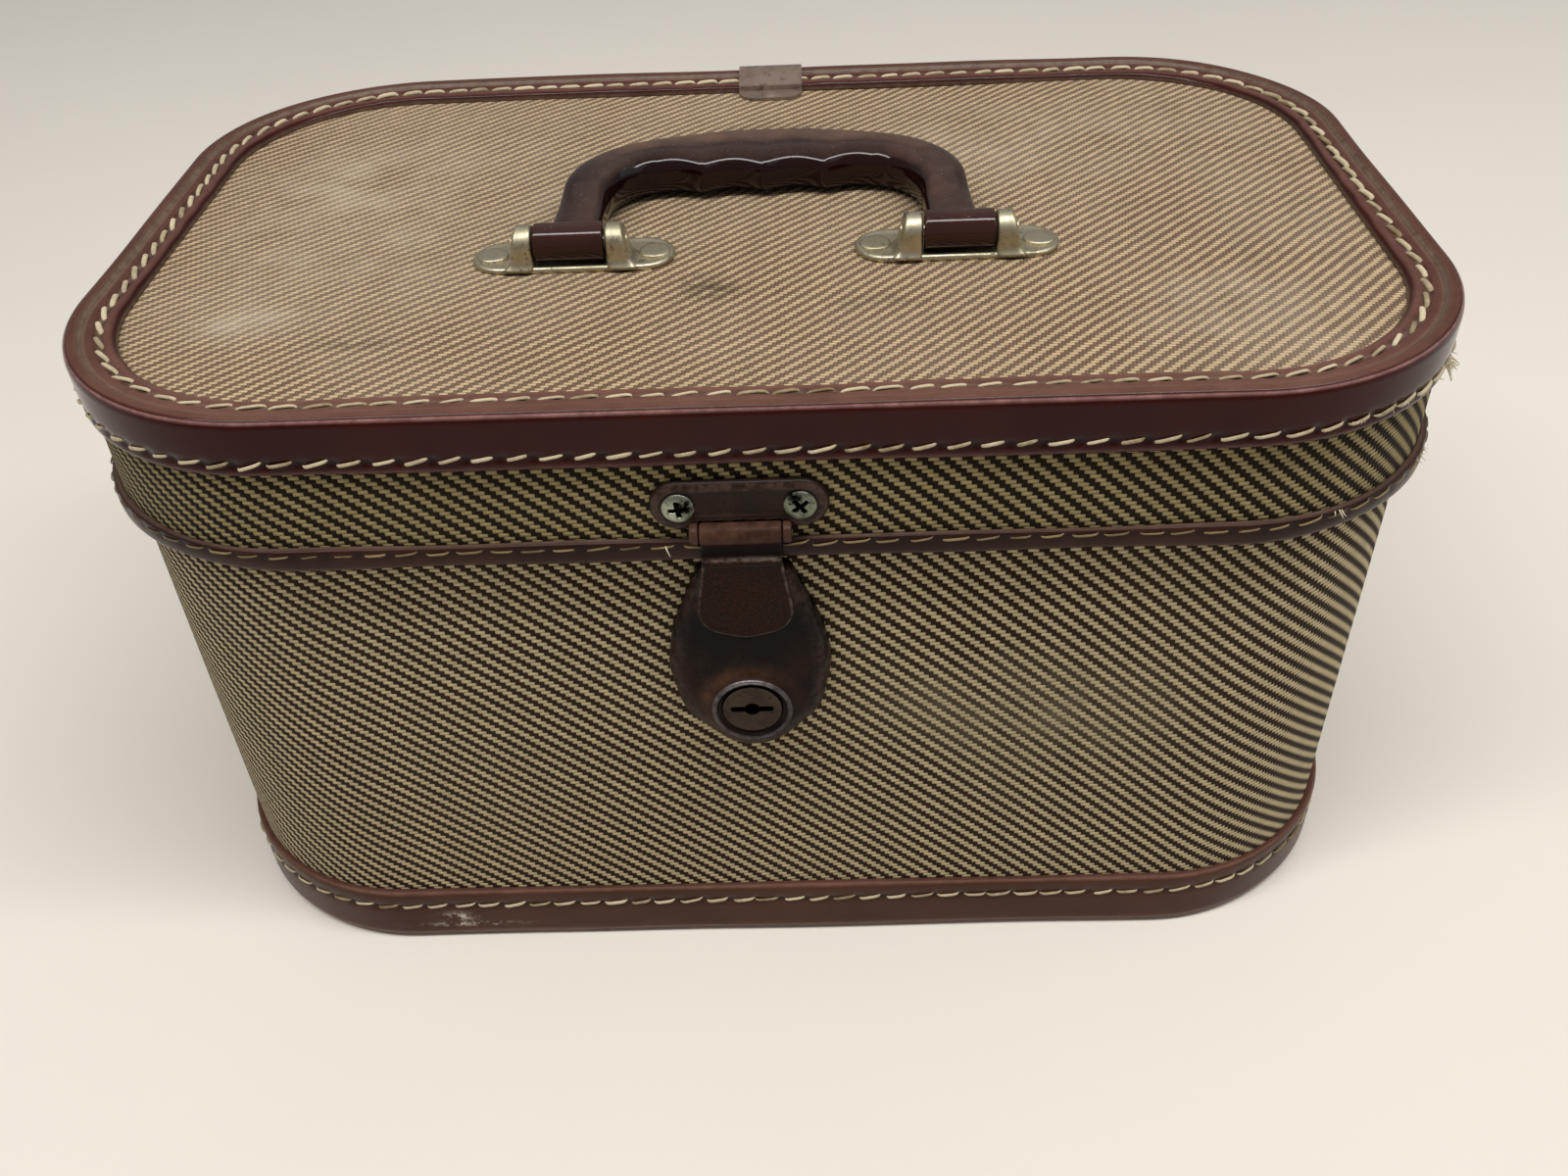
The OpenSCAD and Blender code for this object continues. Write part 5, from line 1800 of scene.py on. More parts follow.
@dataclass
class HaspTongue:
    """Hinged tongue: a rolled knuckle, a hollow neck, a fold, a rounded plate and the staple."""

    x: float = LATCH_X
    back_y: float = -108.0
    circles: Circles = (
        (-4.6, 129.5, 7.0), (4.6, 129.5, 7.0), (0.0, 131.3, 10.0), (-8.4, 144.3, 1.0), (8.4, 144.3, 1.0),
    )
    plate: Pairs = (
        (0.5, 0.0), (0.15, 0.15), (0.0, 0.5), (0.08, 0.9), (0.35, 1.22), (0.8, 1.4), (1.3, 1.4),
        (1.9, 1.3), (2.6, 1.25), (3.4, 1.25),
    )
    rub_within: float = 0.45
    neck: Pairs = (
        (-109.45, 151.8), (-109.4, 150.9), (-109.1, 150.1), (-108.6, 149.5), (-108.15, 149.0),
        (-107.9, 148.3), (-107.85, 147.3), (-107.85, 146.4), (-107.95, 145.8), (-108.3, 145.35),
        (-108.9, 145.1), (-109.3, 144.8), (-109.42, 144.2), (-109.4, 143.4),
    )
    neck_half: float = 9.4
    neck_thick: float = 1.2
    neck_power: float = 8.0
    roll: Pair = (148.6, 150.0)
    # Height and reach of the painted shade in the neck's hollow.
    hollow: Pair = (147.4, 1.7)
    fold: Pair = (145.2, 0.35)
    axis: Pair = HASP_AXIS
    knuckle_r: float = HASP_KNUCKLE_R
    knuckle_half: float = 9.5
    knuckle_edge: float = 0.4
    staple_half: float = 1.0
    staple_y: Pair = (-108.0, -101.8)
    staple_z: Pair = (124.3, 131.3)
    window_y: Pair = (-104.5, -102.5)
    window_z: Pair = (125.9, 129.7)
    ring: int = 96

    def plate_rings(self) -> Array:
        """Makes the rounded plate, from its back to its front.

        Returns:
            Its rings.
        """
        middle = np.mean([c[1] for c in self.circles])
        circles = tuple((x, z - middle, r) for x, z, r in self.circles)
        ways = turns(self.ring, math.pi / self.ring)
        return np.array(
            [upright(lace(circles, ways, d), self.x, self.back_y - h, middle) for d, h in self.plate]
        )

    def neck_rings(self) -> Array:
        """Makes the strip that runs from the knuckle through the neck and the fold.

        Returns:
            Its rings.
        """
        line = np.array(self.neck)
        way = np.gradient(line, axis=0)
        way /= np.linalg.norm(way, axis=1)[:, None]
        c, s = soft_square(self.ring, self.neck_power)
        made = []
        for (y, z), (wy, wz) in zip(line, way):
            deep = self.neck_thick / 2 * (s - 1)
            made.append(np.column_stack([self.x + self.neck_half * c, y + wz * deep, z - wy * deep]))
        return np.array(made)

    def staple_box(self) -> tuple[Array, Faces]:
        """Makes the staple, a flat loop that stands back from the plate.

        Returns:
            Its points and faces.
        """
        (y0, y1), (z0, z1) = self.staple_y, self.staple_z
        (a0, a1), (b0, b1) = self.window_y, self.window_z
        outer = ((y0, z0), (y1, z0), (y1, z1), (y0, z1))
        inner = ((a0, b0), (a1, b0), (a1, b1), (a0, b1))
        sides = (self.x - self.staple_half, self.x + self.staple_half)
        points = np.array([(x, y, z) for x in sides for y, z in (*outer, *inner)])
        faces = []
        for k in range(4):
            n = (k + 1) % 4
            faces += [[k, n, 4 + n, 4 + k], [8 + k, 12 + k, 12 + n, 8 + n]]
            faces += [[k, 8 + k, 8 + n, n], [4 + k, 4 + n, 12 + n, 12 + k]]
        return points, faces

    def build(self, finish: Finish) -> Piece:
        """Builds the tongue as one piece.

        Args:
            finish: Material of the lacquered steel.

        Returns:
            The piece.
        """
        lofts = Lofts()
        lofts.add(self.plate_rings())
        lofts.add(self.neck_rings())
        half, r = self.knuckle_half, self.knuckle_r
        lofts.add(barrel(self.x, half, r, self.axis, self.ring, self.knuckle_edge))
        points, faces = self.staple_box()
        lofts.faces += [[lofts.size + k for k in face] for face in faces]
        lofts.points.append(points)
        piece = lofts.piece("hasp_tongue_pressing", Body.HASP, Slot.ENAMEL)
        self.mark(piece)
        return stand_for(piece, "hasp_tongue", finish)

    def mark(self, piece: Piece) -> None:
        """Paints the rubbed edge and fold, the ruddy roll and painted shade in the hollow of the neck.

        Args:
            piece: The tongue.
        """
        height = np.array([z for _, z in self.neck])
        edge = np.array([1.0 if d < self.rub_within else 0.0 for d, _ in self.plate])
        clean = np.zeros(len(edge))
        fold, hollow = (bell(height - place, reach) for place, reach in (self.fold, self.hollow))
        roll = np.interp(height, self.roll, (0.0, 1.0))
        rest = len(piece.data.vertices) - (len(edge) + len(height)) * self.ring
        # The sunk mark is painted shade in the neck's hollow.
        marks = (("rubbed", edge, fold, 0.0), ("ruddy", clean, roll, 1.0), ("sunk", clean, hollow, 0.0))
        for mark, on_plate, on_neck, on_rest in marks:
            rings = np.repeat(np.concatenate([on_plate, on_neck]), self.ring)
            paint(piece, mark, np.concatenate([rings, np.full(rest, on_rest)]))


@dataclass
class ScrewHeads:
    """Domed heads of the two hasp screws, each with a cross recess full of dirt."""

    x: float = LATCH_X
    reach: float = 14.0
    face_y: float = -105.8
    mid_z: float = 158.5
    r: float = 3.8
    h: float = 1.5
    dome: float = 0.84
    arm: float = 2.2
    slot: float = 0.5
    soft: float = 0.35
    deep: float = 1.0
    smear: Circles = ((0.45, 0.1, 0.9), (-0.3, 0.7, 0.7))
    grime: float = 0.62
    turned: Pair = (8.0, 38.0)
    face: Pair = (0.985, 0.01)
    rows: int = 30
    ring: int = 96

    def head(self, side: int, turned: float, smear: Point) -> tuple[Array, Array]:
        """Makes one head.

        Args:
            side: -1 for the left screw, 1 for the right one.
            turned: Turn of its cross, in degrees.
            smear: Middle and reach of the dirt on it, as shares of its radius.

        Returns:
            Rings from its rim to its middle, and how much dirt lies on each point.
        """
        share = np.concatenate([[1.0, 1.0], np.linspace(*self.face, self.rows)])
        flat = self.r * share[:, None, None] * unit(turns(self.ring))[None, :, :]
        u, v = flat[..., 0], flat[..., 1]
        c, s = math.cos(math.radians(turned)), math.sin(math.radians(turned))
        p, q = np.abs(c * u + s * v), np.abs(c * v - s * u)
        arms = [self.within(a, self.slot) * self.within(b, self.arm) for a, b in ((p, q), (q, p))]
        sunk = np.maximum(*arms)
        high = (self.h * np.sqrt(1 - self.dome * share**2))[:, None] - self.deep * sunk
        high[0] = 0.0
        off = np.hypot(u / self.r - smear[0], v / self.r - smear[1])
        dirt_and_shade = np.maximum(sunk, self.grime * bell(off, smear[2]))
        rings = np.stack([self.x + side * self.reach + u, self.face_y - high, self.mid_z + v], -1)
        return rings, dirt_and_shade

    def within(self, off: Array, half: float) -> Array:
        """Smooth share of 1 inside a half width and 0 outside it."""
        t = np.clip((half + self.soft / 2 - off) / self.soft, 0, 1)
        return t * t * (3 - 2 * t)

    def build(self, finish: Finish) -> Piece:
        """Builds both heads.

        Args:
            finish: Material of the tarnished steel.

        Returns:
            The piece.
        """
        lofts, dirt_and_shade = Lofts(), []
        for side, turned, smear in zip((-1, 1), self.turned, self.smear):
            rings, smeared = self.head(side, turned, smear)
            lofts.add(rings)
            dirt_and_shade.append(smeared.ravel())
        piece = lofts.piece("hasp_screw_heads", Body.LID, Slot.NICKEL)
        paint(piece, "sunk", np.concatenate(dirt_and_shade))
        return stand_for(piece, "hasp_screws", finish)


@dataclass
class LockCase:
    """Pressed lock case: a domed pear outline that flares up to the bezel, slotted for the staple."""

    x: float = LATCH_X
    axis_z: float = 96.8
    face_y: float = -102.5
    circles: Circles = (
        (0.0, -3.2, 13.0), (4.5, 3.5, 14.5), (-4.5, 3.5, 14.5), (7.0, 12.0, 13.5), (-7.0, 12.0, 13.5),
        (9.5, 21.0, 9.5), (-9.5, 21.0, 9.5), (8.8, 40.2, 3.0), (-8.8, 40.2, 3.0),
    )
    top: float = 43.2
    dome: Pairs = (
        (0.0, 0.0), (0.05, 0.8), (0.25, 1.8), (0.7, 2.75), (1.5, 3.7), (2.6, 4.4), (3.8, 4.8), (5.0, 5.0),
    )
    slot_half: float = 1.5
    slot_low: float = 25.0
    above_slot_end: tuple[float, ...] = (0.15, 0.32)
    below_slot_end: tuple[float, ...] = (0.62, 0.74, 0.84, 0.92, 1.0)
    wall: float = 1.2
    bezel_r: float = 10.25
    flare_r: float = 17.0
    flare: float = 0.95
    bezel: Pairs = (
        (10.3, 6.25), (10.25, 6.6), (10.05, 6.88), (9.7, 7.0), (9.3, 6.95), (8.95, 6.7), (8.7, 6.35),
        (8.45, 6.05), (8.0, 5.85), (7.62, 5.7), (7.62, 4.4),
    )
    rubbed: Pairs = ((0, 0.0), (2, 0.8), (5, 0.5), (7, 0.0))
    bare: Pairs = ((0, 0.0), (1, 1.0), (4, 1.0), (5, 0.0))
    # The bare lip is brightest at its top as a painted highlight: its share elsewhere, and the turn and
    # reach of the brightest part.
    bare_off_highlight: float = 0.3
    highlight_turn: float = 100.0
    highlight_reach: float = 0.7
    tan_off: Pair = (12.0, 2.2)
    tan_turn: float = 150.0
    # Painted shadow that the tongue casts on the upper case.
    shade: float = 0.75
    shade_high: Pair = (26.0, 9.0)
    shade_from: float = 14.0
    # Painted shade in the bezel's inner furrow.
    groove_shade: float = 0.8
    groove_shade_off: Pair = (8.6, 0.35)
    ring: int = 180
    fine: int = 16

    def outline(self, inset: float) -> Array:
        """Draws the outline moved inward, from one side of the slot round to the other.

        Args:
            inset: Distance inward.

        Returns:
            Its points, in two columns.
        """
        dense = lace(self.circles, turns(self.ring * self.fine, math.pi / 2), inset)
        turn = np.unwrap(np.arctan2(dense[:, 1], dense[:, 0]))
        high = self.top - inset
        gap = math.atan2(self.slot_half, high)
        want = np.linspace(math.pi / 2 + gap, 2.5 * math.pi - gap, self.ring)
        made = np.stack([np.interp(want, turn, dense[:, k], period=2 * math.pi) for k in (0, 1)], 1)
        made[[0, -1]] = (-self.slot_half, high), (self.slot_half, high)
        return made

    def rings(self) -> tuple[list[Array], int]:
        """Makes the case from its foot to the bore.

        Returns:
            Its rings, and how many of them the slot cuts.
        """
        made = [(self.outline(d), h) for d, h in self.dome]
        last, depth = made[-1]
        around = unit(np.arctan2(last[:, 1], last[:, 0]))
        round_edge = self.bezel_r * around
        slot_end = (last[0, 1] - self.slot_low) / (last[0, 1] - round_edge[0, 1])
        shares = (*self.above_slot_end, slot_end, *self.below_slot_end)
        made += [(last + (round_edge - last) * t, depth) for t in shares]
        cut, rings = len(self.dome) + len(self.above_slot_end) + 1, []
        for k, (flat, h) in enumerate(made):
            if k < cut:
                flat[[0, -1], 0] = -self.slot_half, self.slot_half
            off = np.hypot(flat[:, 0], flat[:, 1])
            rise = self.flare * np.clip((self.flare_r - off) / (self.flare_r - self.bezel_r), 0, 1) ** 2
            rings.append(np.column_stack([flat, h + rise * min(1.0, h)]))
        rings += [level(round_edge / self.bezel_r * r, h) for r, h in self.bezel]
        return rings, cut

    def slot_faces(self, count: int, cut: int, first: int) -> Faces:
        """Faces of the slot's walls.

        Args:
            count: Number of points in a ring.
            cut: Number of rings that the slot cuts.
            first: Number of the first point behind the slot's edges.

        Returns:
            The faces.
        """
        made = []
        for i in range(1, cut - 1):
            a, b, back = i * count, (i + 1) * count, first + 2 * i
            made.append([a, b, back + 2, back])
            made.append([a + count - 1, back + 1, back + 3, b + count - 1])
        low, back = (cut - 1) * count, first + 2 * (cut - 1)
        made.append([low, low + count - 1, back + 1, back])
        return made

    def build(self, finish: Finish) -> Piece:
        """Builds the case with its slot walls.

        Args:
            finish: Material of the lacquered steel.

        Returns:
            The piece.
        """
        rings, cut = self.rings()
        count = len(rings[0])
        faces = []
        for i in range(len(rings) - 1):
            a, b = i * count, (i + 1) * count
            whole = count if i >= cut - 1 else count - 1
            faces += [[a + j, a + (j + 1) % count, b + (j + 1) % count, b + j] for j in range(whole)]
        behind = [ring[[0, -1]] - (0, 0, min(self.wall, ring[0, 2])) for ring in rings[:cut]]
        points = np.concatenate([*rings, *behind])
        faces += self.slot_faces(count, cut, len(rings) * count)
        world = upright(points[:, :2], self.x, self.face_y, self.axis_z)
        world[:, 1] -= points[:, 2]
        piece = mesh_piece("lock_case_pressing", world, faces, Body.BASE)
        self.mark(piece, points, len(rings), count)
        return stand_for(piece, "lock_case", finish)

    def mark(self, piece: Piece, points: Array, rows: int, count: int) -> None:
        """Paints the rubbed foot, the bare lip brightest at its top as a painted highlight, the tan round
        the bezel, and painted shade under the tongue and in the bezel's inner furrow.

        Args:
            piece: The case.
            points: Its points, as an outline and a depth.
            rows: Number of its rings.
            count: Number of points in a ring.
        """
        off, turn = np.hypot(points[:, 0], points[:, 1]), np.arctan2(points[:, 1], points[:, 0])
        lip, plain = rows - len(self.bezel), np.zeros(len(points) - rows * count)
        rubbed = np.interp(np.arange(rows), *zip(*self.rubbed))
        paint(piece, "rubbed", np.concatenate([np.repeat(rubbed, count), plain]))
        bare = np.interp(np.arange(rows) - lip, *zip(*self.bare))
        # Painted highlight: the bare lip is brightest at its top.
        lip_highlight = bell(turn - math.radians(self.highlight_turn), self.highlight_reach)
        lip_highlight = self.bare_off_highlight + (1 - self.bare_off_highlight) * lip_highlight
        paint(piece, "bare", np.concatenate([np.repeat(bare, count), plain]) * lip_highlight)
        middle, reach = self.tan_off
        tan = bell(off - middle, reach) * (0.5 + 0.5 * np.cos(turn - math.radians(self.tan_turn)))
        paint(piece, "ruddy", tan)
        # Painted shade: the tongue's shadow on the upper case and the shade in the bezel's inner furrow.
        middle, reach = self.shade_high
        shade = self.shade * bell(points[:, 1] - middle, reach) * (off > self.shade_from)
        middle, reach = self.groove_shade_off
        paint(piece, "sunk", np.maximum(shade, self.groove_shade * bell(off - middle, reach)))


@dataclass
class Fittings:
    """CAD solids that show as they are: their edges are broken and they get a finish."""

    segments: int = 2
    sharp: float = 40.0

    def dress_nodes(self, names: tuple[str, ...], finish: Finish, bevel: float) -> None:
        """Breaks the edges of CAD nodes and gives them a finish.

        Args:
            names: Names of the nodes.
            finish: Material for all of them.
            bevel: Width of the broken edge in millimetres, or 0 for none.
        """
        for name in names:
            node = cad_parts[name]
            if bevel > 0:
                edge = node.modifiers.new("broken_edge", "BEVEL")
                edge.width = bevel * MM
                edge.segments = self.segments
                edge.limit_method = "ANGLE"
                edge.angle_limit = math.radians(self.sharp)
                edge.use_clamp_overlap = True
            dress(node, finish)
            LOG.info("%s: dressed", name)


@dataclass(frozen=True)
class Viewpoint:
    """Camera of the photograph, in millimetres and degrees, with its clipping in metres."""

    place: Point = (13.39, -368.10, 347.71)
    yaw: float = -1.789
    pitch: float = 39.17
    roll: float = 2.704
    lens: float = 32.497
    sensor: float = 36.0
    clip: Pair = (0.01, 50.0)

    def build(self) -> None:
        """Builds the camera and makes it the scene's own."""
        yaw, pitch, roll = (math.radians(v) for v in (self.yaw, self.pitch, self.roll))
        level_way = math.cos(pitch)
        ahead = Vector((math.sin(yaw) * level_way, math.cos(yaw) * level_way, -math.sin(pitch)))
        right = Vector((math.cos(yaw), -math.sin(yaw), 0.0))
        down = ahead.cross(right)
        across = math.cos(roll) * right + math.sin(roll) * down
        up = math.sin(roll) * right - math.cos(roll) * down
        turn = Matrix((across, up, -ahead)).transposed().to_4x4()
        data = bpy.data.cameras.new("camera")
        data.lens, data.sensor_width, data.sensor_fit = self.lens, self.sensor, "HORIZONTAL"
        data.clip_start, data.clip_end = self.clip
        camera = bpy.data.objects.new("camera", data)
        camera.matrix_world = Matrix.Translation(Vector(self.place) * MM) @ turn
        bpy.context.scene.collection.objects.link(camera)
        bpy.context.scene.camera = camera


@dataclass(frozen=True)
class Lamp:
    """Oblong soft lamp, in metres and watts, aimed at the case."""

    name: str
    place: Point
    size: Pair
    power: float
    colour: Colour
    aim: Point = (0.0, 0.0, 0.1)

    def build(self) -> None:
        """Builds the lamp."""
        data = bpy.data.lights.new(self.name, "AREA")
        data.shape, data.energy, data.color = "RECTANGLE", self.power, self.colour
        data.size, data.size_y = self.size
        lamp = bpy.data.objects.new(self.name, data)
        lamp.location = self.place
        way = Vector(self.aim) - Vector(self.place)
        lamp.rotation_euler = way.to_track_quat("-Z", "Y").to_euler()
        bpy.context.scene.collection.objects.link(lamp)


@dataclass
class Studio:
    """Plain pale floor just below the case, soft lamps and an even surround."""

    half: float = 4.0
    drop: float = 0.2
    floor: Floor = Floor("floor_paper", "eae4da", "d8d2c8")
    sky: Colour = (1.0, 0.99, 0.97)
    surround: float = 0.22
    lamps: tuple[Lamp, ...] = (
        Lamp("lamp_over", (0.05, -0.4, 1.6), (2.8, 0.22), 30.5, (1.0, 0.99, 0.975)),
        Lamp("lamp_rear", (-0.4, 0.9, 1.9), (3.0, 2.0), 4.0, (1.0, 0.99, 0.97)),
        Lamp("lamp_right", (1.4, -0.2, 1.2), (1.8, 1.4), 3.5, (0.98, 0.99, 1.0)),
    )

    def build(self) -> None:
        """Builds the floor, the lamps and the surround."""
        h = self.half
        mesh = bpy.data.meshes.new("floor")
        mesh.from_pydata([(-h, -h, 0), (h, -h, 0), (h, h, 0), (-h, h, 0)], [], [(0, 1, 2, 3)])
        floor = bpy.data.objects.new("floor", mesh)
        floor.location.z = -self.drop * MM
        bpy.context.scene.collection.objects.link(floor)
        dress(floor, self.floor.material())
        for lamp in self.lamps:
            lamp.build()
        world = bpy.data.worlds.new("surround")
        world.use_nodes = True
        sky = world.node_tree.nodes["Background"]
        sky.inputs["Color"].default_value = (*self.sky, 1.0)
        sky.inputs["Strength"].default_value = self.surround
        bpy.context.scene.world = world
        bpy.context.scene.view_settings.view_transform = "Standard"


EDGE_PROFILE: Pairs = (
    (60.0, 170.05), (61.0, 169.95), (61.45, 170.1), (61.75, 170.6), (61.88, 171.4), (61.9, 173.2),
    (61.95, 175.0), (62.0, 178.5), (62.0, 182.6), (61.68, 183.8), (60.8, 184.68), (59.6, 185.0),
    (58.4, 184.68), (57.76, 184.1), (57.4, 183.6), (57.05, 183.45), (56.6, 183.6), (55.8, 183.85),
    (55.0, 183.8), (54.3, 183.55), (53.6, 183.35), (52.9, 183.5), (52.2, 183.6), (51.3, 183.5),
    (50.4, 183.1), (49.8, 182.55), (49.5, 181.9), (49.45, 181.0),
)
EDGE_BACK: Pairs = ((49.5, 180.6), (59.6, 180.6), (59.6, 170.4))
RIM_PROFILE: Pairs = (
    (55.0, 148.3), (55.0, 144.0), (55.3, 143.25), (56.0, 143.0), (61.0, 143.0), (61.55, 143.2),
    (61.8, 143.8), (61.95, 145.5), (61.9, 147.6), (61.6, 148.35), (61.0, 148.55), (60.2, 148.5),
)
RIM_BACK: Pairs = ((59.5, 148.0), (55.6, 148.0))
FOOT_PROFILE: Pairs = (
    (45.5, 1.2), (45.6, 0.3), (46.1, 0.0), (56.3, 0.0), (57.6, 0.25), (58.6, 0.9), (59.25, 1.8),
    (59.55, 3.2), (59.6, 9.0), (59.6, 14.4), (59.5, 18.4), (59.3, 19.4), (58.8, 19.9), (58.2, 20.0),
    (57.3, 19.9),
)
FOOT_BACK: Pairs = ((57.0, 19.5), (57.0, 2.0), (46.0, 1.8))
BASE_WALL_PROFILE: Pairs = ((57.5, 1.5), (57.5, 141.9), (57.3, 142.45), (56.9, 142.7), (53.7, 142.7))
BASE_WALL_BACK: Pairs = ((53.9, 141.9), (56.7, 141.5), (56.7, 1.5))
LID_WALL_PROFILE: Pairs = ((60.0, 144.2), (60.0, 180.2))
LID_WALL_BACK: Pairs = ((59.3, 180.2), (59.3, 144.2))


def build_cloth() -> list[Piece]:
    """Builds the covering cloth of the base, the lid wall and the lid top.

    Returns:
        The pieces, in order.
    """
    walls = TwillCloth(
        "twill_walls", dark="2b190d", light="c4b48e", dusty="8a7f68",
        pitch=(1.249, 1.113), twill=Twill.FALLING, skew=3.0, dust=0.05,
    )
    # Painted shade: the lid wall takes a darker copy of the wall twill for the shade that falls on it.
    lid_walls_shaded = replace(walls, name="twill_lid_walls_shaded", dark="1d1008", light="9d8e66", dusty="75694f")
    top = TwillCloth(
        "twill_lid_top", dark="6c533e", light="c4aa85", dusty="cbbda7",
        pitch=(1.03, 1.03), twill=Twill.RISING, skew=6.0, dust=0.15,
    )
    r = BASE_WALL_R
    worn = (Patch(PLAN.front(r, 76), 82, 26, 20, 0.8), Patch(PLAN.front(r, 50), 92, 20, 12, 0.5))
    base_wall = WallCloth(
        "base_wall_cloth", "base_wall_covering", Body.BASE, r, BASE_WALL_PROFILE, BASE_WALL_BACK, worn
    )
    lid_wall = WallCloth(
        "lid_wall_cloth", "lid_wall_covering", Body.LID, 60.0, LID_WALL_PROFILE, LID_WALL_BACK, seed=8
    )
    return [
        base_wall.build(walls.material()),
        lid_wall.build(lid_walls_shaded.material()),
        LidTop().build(top.material()),
    ]


def build_bindings() -> list[Piece]:
    """Builds the three bindings, their stitches and the loose ends of thread.

    Returns:
        The pieces, in order.
    """
    # The edge's pale pink rubbed colour paints light wear and the highlight line along the bead.
    edge = Leathercloth(
        "leathercloth_edge", "38100b", "2d0c08", "7f594b", "b48682", dust=0.68, roughness=0.12
    )
    rim = Leathercloth(
        "leathercloth_rim", "3a2118", "26120d", "5a443c", "5a4032", dust=0.3, roughness=0.25
    )
    foot = Leathercloth(
        "leathercloth_foot", "4c2d21", "3f2419", "735249", "8c6856", dust=0.3, roughness=0.3
    )
    thread = Thread("thread_tan", "cfc0a0", "75623f").material()
    rim_thread = Thread("thread_brown", "8c7953", "4c3d28").material()
    frayed = Thread("thread_frayed", "d9cdb2", "b29e76").material()
    edge_binding = Binding(
        "lid_edge_leathercloth", "lid_edge_binding", Body.LID, LID_BINDING_R, EDGE_PROFILE, EDGE_BACK,
        seams=(
            Seam(
                "lid_top_stitches", 53.6, 183.35, Side.TOP, length=7.4, slant=12.0, thick=0.78,
                furrow=0.35, proud=0.2, soil=0.3, taut=0.42, seed=11,
            ),
            Seam("lid_side_stitches", 61.92, 173.2, Side.WALL, thick=0.56, soil=0.35, taut=0.2, seed=12),
        ),
        spots=(
            # Painted highlight: a thin pale line along the outer shoulder of the bead.
            Spot("rubbed", 61.5, 184.05, 0.32, 0.9),
            Spot("rubbed", 51.4, 183.5, 1.0, 0.1),
            Spot("rubbed", 61.7, 170.5, 0.6, 0.2),
            Spot("lint", 57.7, 184.0, 0.9, 0.9),
            Spot("lint", 49.5, 181.6, 0.6, 0.6),
            Spot("lint", 53.6, 183.3, 0.6, 0.5),
        ),
        lip=(49.9, 182.5, 0.12),
        side_dust=0.55,
    )
    rim_seam = Seam(
        "lid_rim_stitches", 61.95, 147.2, Side.WALL, length=6.3, slant=5.0, thick=0.28,
        furrow=0.25, soil=0.4, seed=13,
    )
    rim_binding = Binding(
        "lid_rim_leathercloth", "lid_rim_binding", Body.LID, LID_BINDING_R, RIM_PROFILE, RIM_BACK,
        seams=(rim_seam,),
        spots=(Spot("rubbed", 61.7, 143.5, 0.7, 0.3), Spot("lint", 60.6, 148.5, 0.5, 0.5)),
        seed=21,
    )
    foot_seam = Seam(
        "foot_stitches", 59.6, 14.4, Side.WALL, length=6.9, slant=9.0, thick=0.44, soil=0.4, seed=14
    )
    r = FOOT_BINDING_R
    foot_binding = Binding(
        "base_foot_leathercloth", "base_foot_binding", Body.BASE, r, FOOT_PROFILE, FOOT_BACK,
        seams=(foot_seam,),
        spots=(Spot("rubbed", 58.2, 0.6, 2.0), Spot("rubbed", 59.2, 19.75, 0.35, 0.8)),
        scuffs=(Scuff(PLAN.front(r, -93), 6.0, 11, 0.7), Scuff(PLAN.front(r, -96), 9.5, 4, 1.6)),
        seed=31,
    )
    return [
        *edge_binding.build(edge.material(), thread),
        *rim_binding.build(rim.material(), rim_thread),
        *foot_binding.build(foot.material(), thread),
        Frays().build(frayed),
    ]


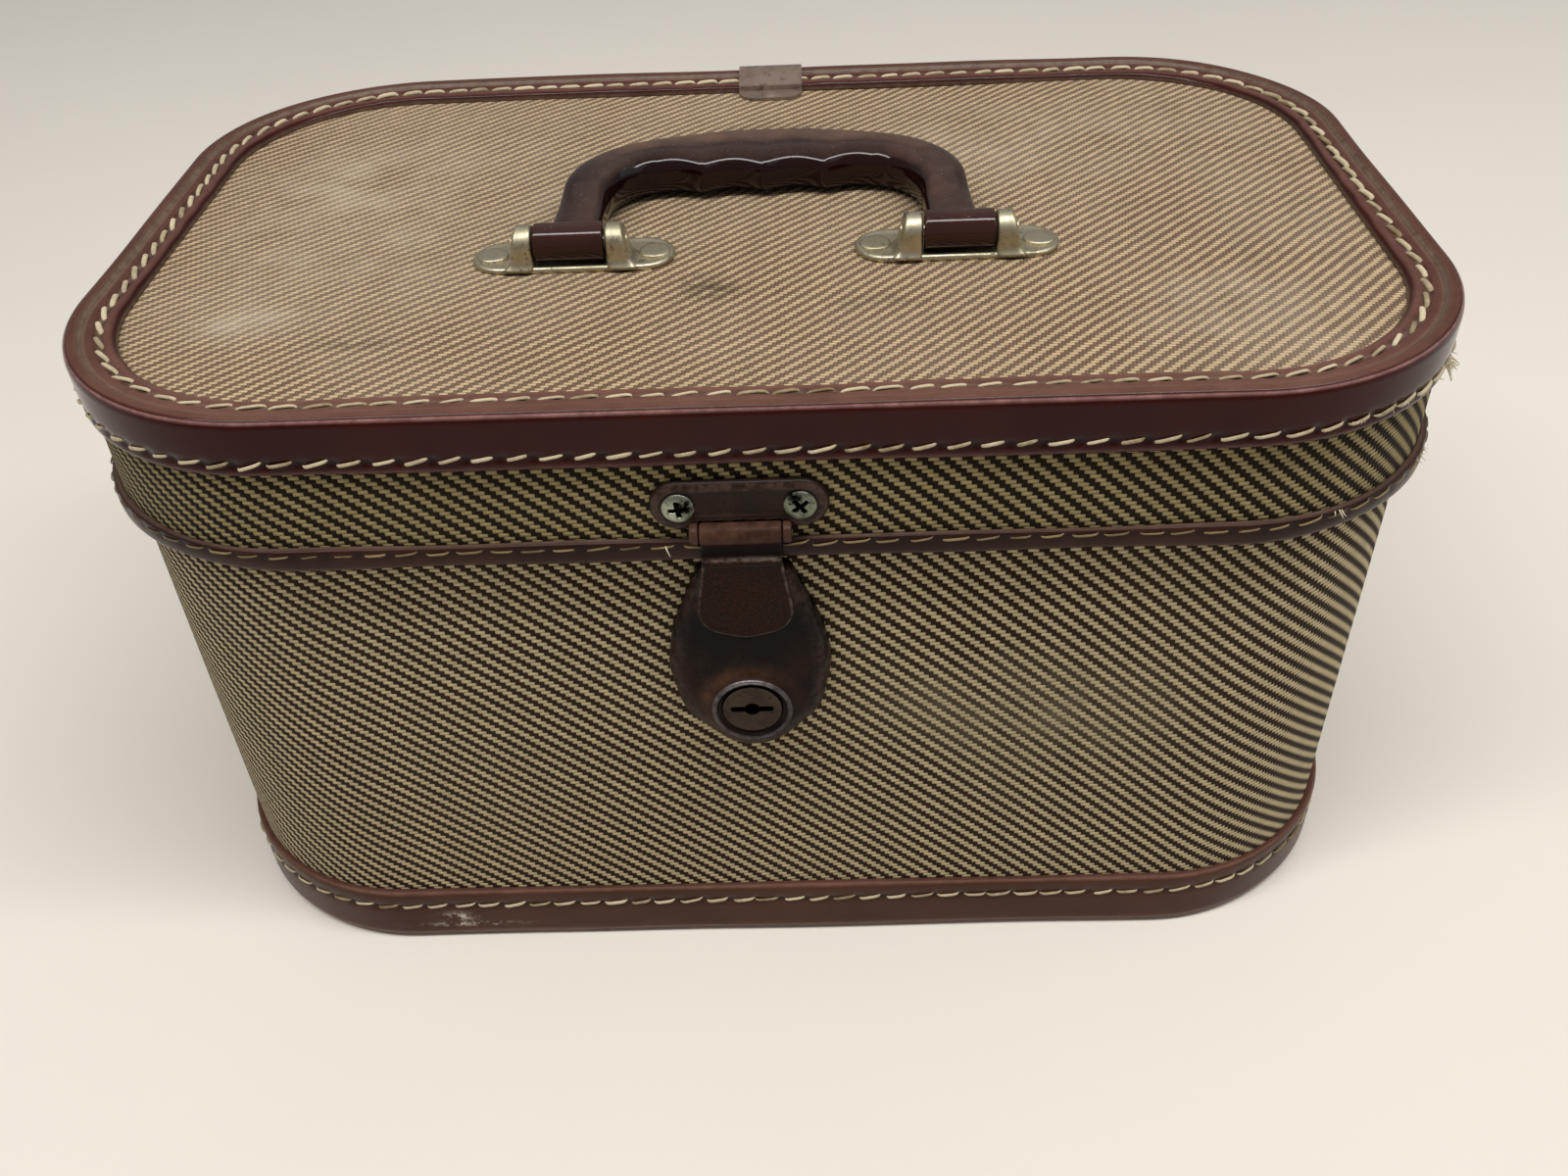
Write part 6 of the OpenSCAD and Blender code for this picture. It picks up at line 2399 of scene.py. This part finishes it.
def build_fittings() -> list[Piece]:
    """Builds the handle, brackets and latch, and dresses the CAD solids that show as they are.

    Returns:
        The pieces, in order.
    """
    handle = Handle()
    moulding = Moulding("handle_brown", "200a07", "0e0403", "6c5041", film=0.9).material()
    rubbed = Moulding("handle_brown_rubbed", "361d17", "1c0d0a", "4a342c", film=0.15).material()
    nickel = Metal("aged_nickel", "d0c7af", "9c9474", "3a3224", amount=0.8, roughness=0.36).material()
    screw = Metal("tarnished_screws", "a2a494", "525a48", "1c2019", amount=1.0, roughness=0.34).material()
    # Its recess paints black shade in the keyhole and behind the plug's face.
    steel = Metal("dull_steel", "473c33", "2f2721", "191310", 0.7, 0.38, recess=-108.7).material()
    zinc = Metal("dull_zinc", "988679", "6c5b53", "382c26", 0.8, 0.4, metallic=0.6).material()
    plate = Enamel("latch_brown", "21160f", "2e1f15", "190f09", "55423a", 0.5, 0.28, gloss=0.12)
    tongue = Enamel("tongue_brown", "180d07", "22120a", "3a1f0e", "5e5048", 0.95, 0.36, gloss=0.08)
    case = Enamel("lock_brown", "150c08", "281810", "100906", "4a3d36", 0.5, 0.28, 0.08, ruddy="52392a")
    lining = Lining("lining_cloth", "d9c9ab", "b9a585", pitch=0.5, roughness=0.75).material()
    board = Lining("fibre_board", "b08a5c", "8c6a44", pitch=0.9, roughness=0.85).material()
    under = Lining("bottom_cloth", "4a3f33", "342b22", pitch=0.7, roughness=0.85).material()
    middles = (handle.x - handle.bracket_x, handle.x + handle.bracket_x)
    sides = ("left", "right")
    pieces = handle.build(moulding, rubbed)
    for side, x in zip(sides, middles):
        pieces.append(Bracket(f"bracket_pressing_{side}", f"handle_bracket_{side}", x).build(nickel))
    pieces.append(RivetHeads(middles).build(nickel))
    pieces.append(HaspPlate().build(plate.material()))
    pieces.append(HaspTongue().build(tongue.material()))
    pieces.append(ScrewHeads().build(screw))
    pieces.append(LockCase().build(case.material()))
    leaves = tuple(f"hinge_{leaf}_leaf_{side}" for leaf in ("lower", "upper") for side in sides)
    fittings = Fittings()
    for finish, bevel, names in (
        (nickel, 0.0, ("handle_pins", "hinge_lower_rivets", "hinge_upper_rivets", "hinge_pins")),
        (nickel, 0.2, (*leaves, "stay_arm", "stay_lid_stud", "stay_base_stud")),
        (zinc, 0.25, ("binding_clip", "clip_rivet")),
        (steel, 0.1, ("hasp_pin", "lock_plug", "lock_bolt", "lock_back_plate", "lock_rivets")),
        (lining, 0.0, ("base_lining", "base_collar", "lid_lining")),
        (board, 0.0, ("base_wall", "base_bottom_panel", "lid_wall", "lid_top_panel")),
        (under, 0.0, ("base_bottom_covering",)),
    ):
        fittings.dress_nodes(names, finish, bevel)
    return pieces


def main() -> None:
    """Builds every piece in order, dresses the CAD solids and sets up the studio."""
    logging.basicConfig(level=logging.INFO, format="%(name)s: %(message)s")
    Viewpoint().build()
    Studio().build()
    for piece in [*build_cloth(), *build_bindings(), *build_fittings()]:
        LOG.info("%s: %d faces", piece.name, len(piece.data.polygons))


if __name__ == "__main__":
    main()
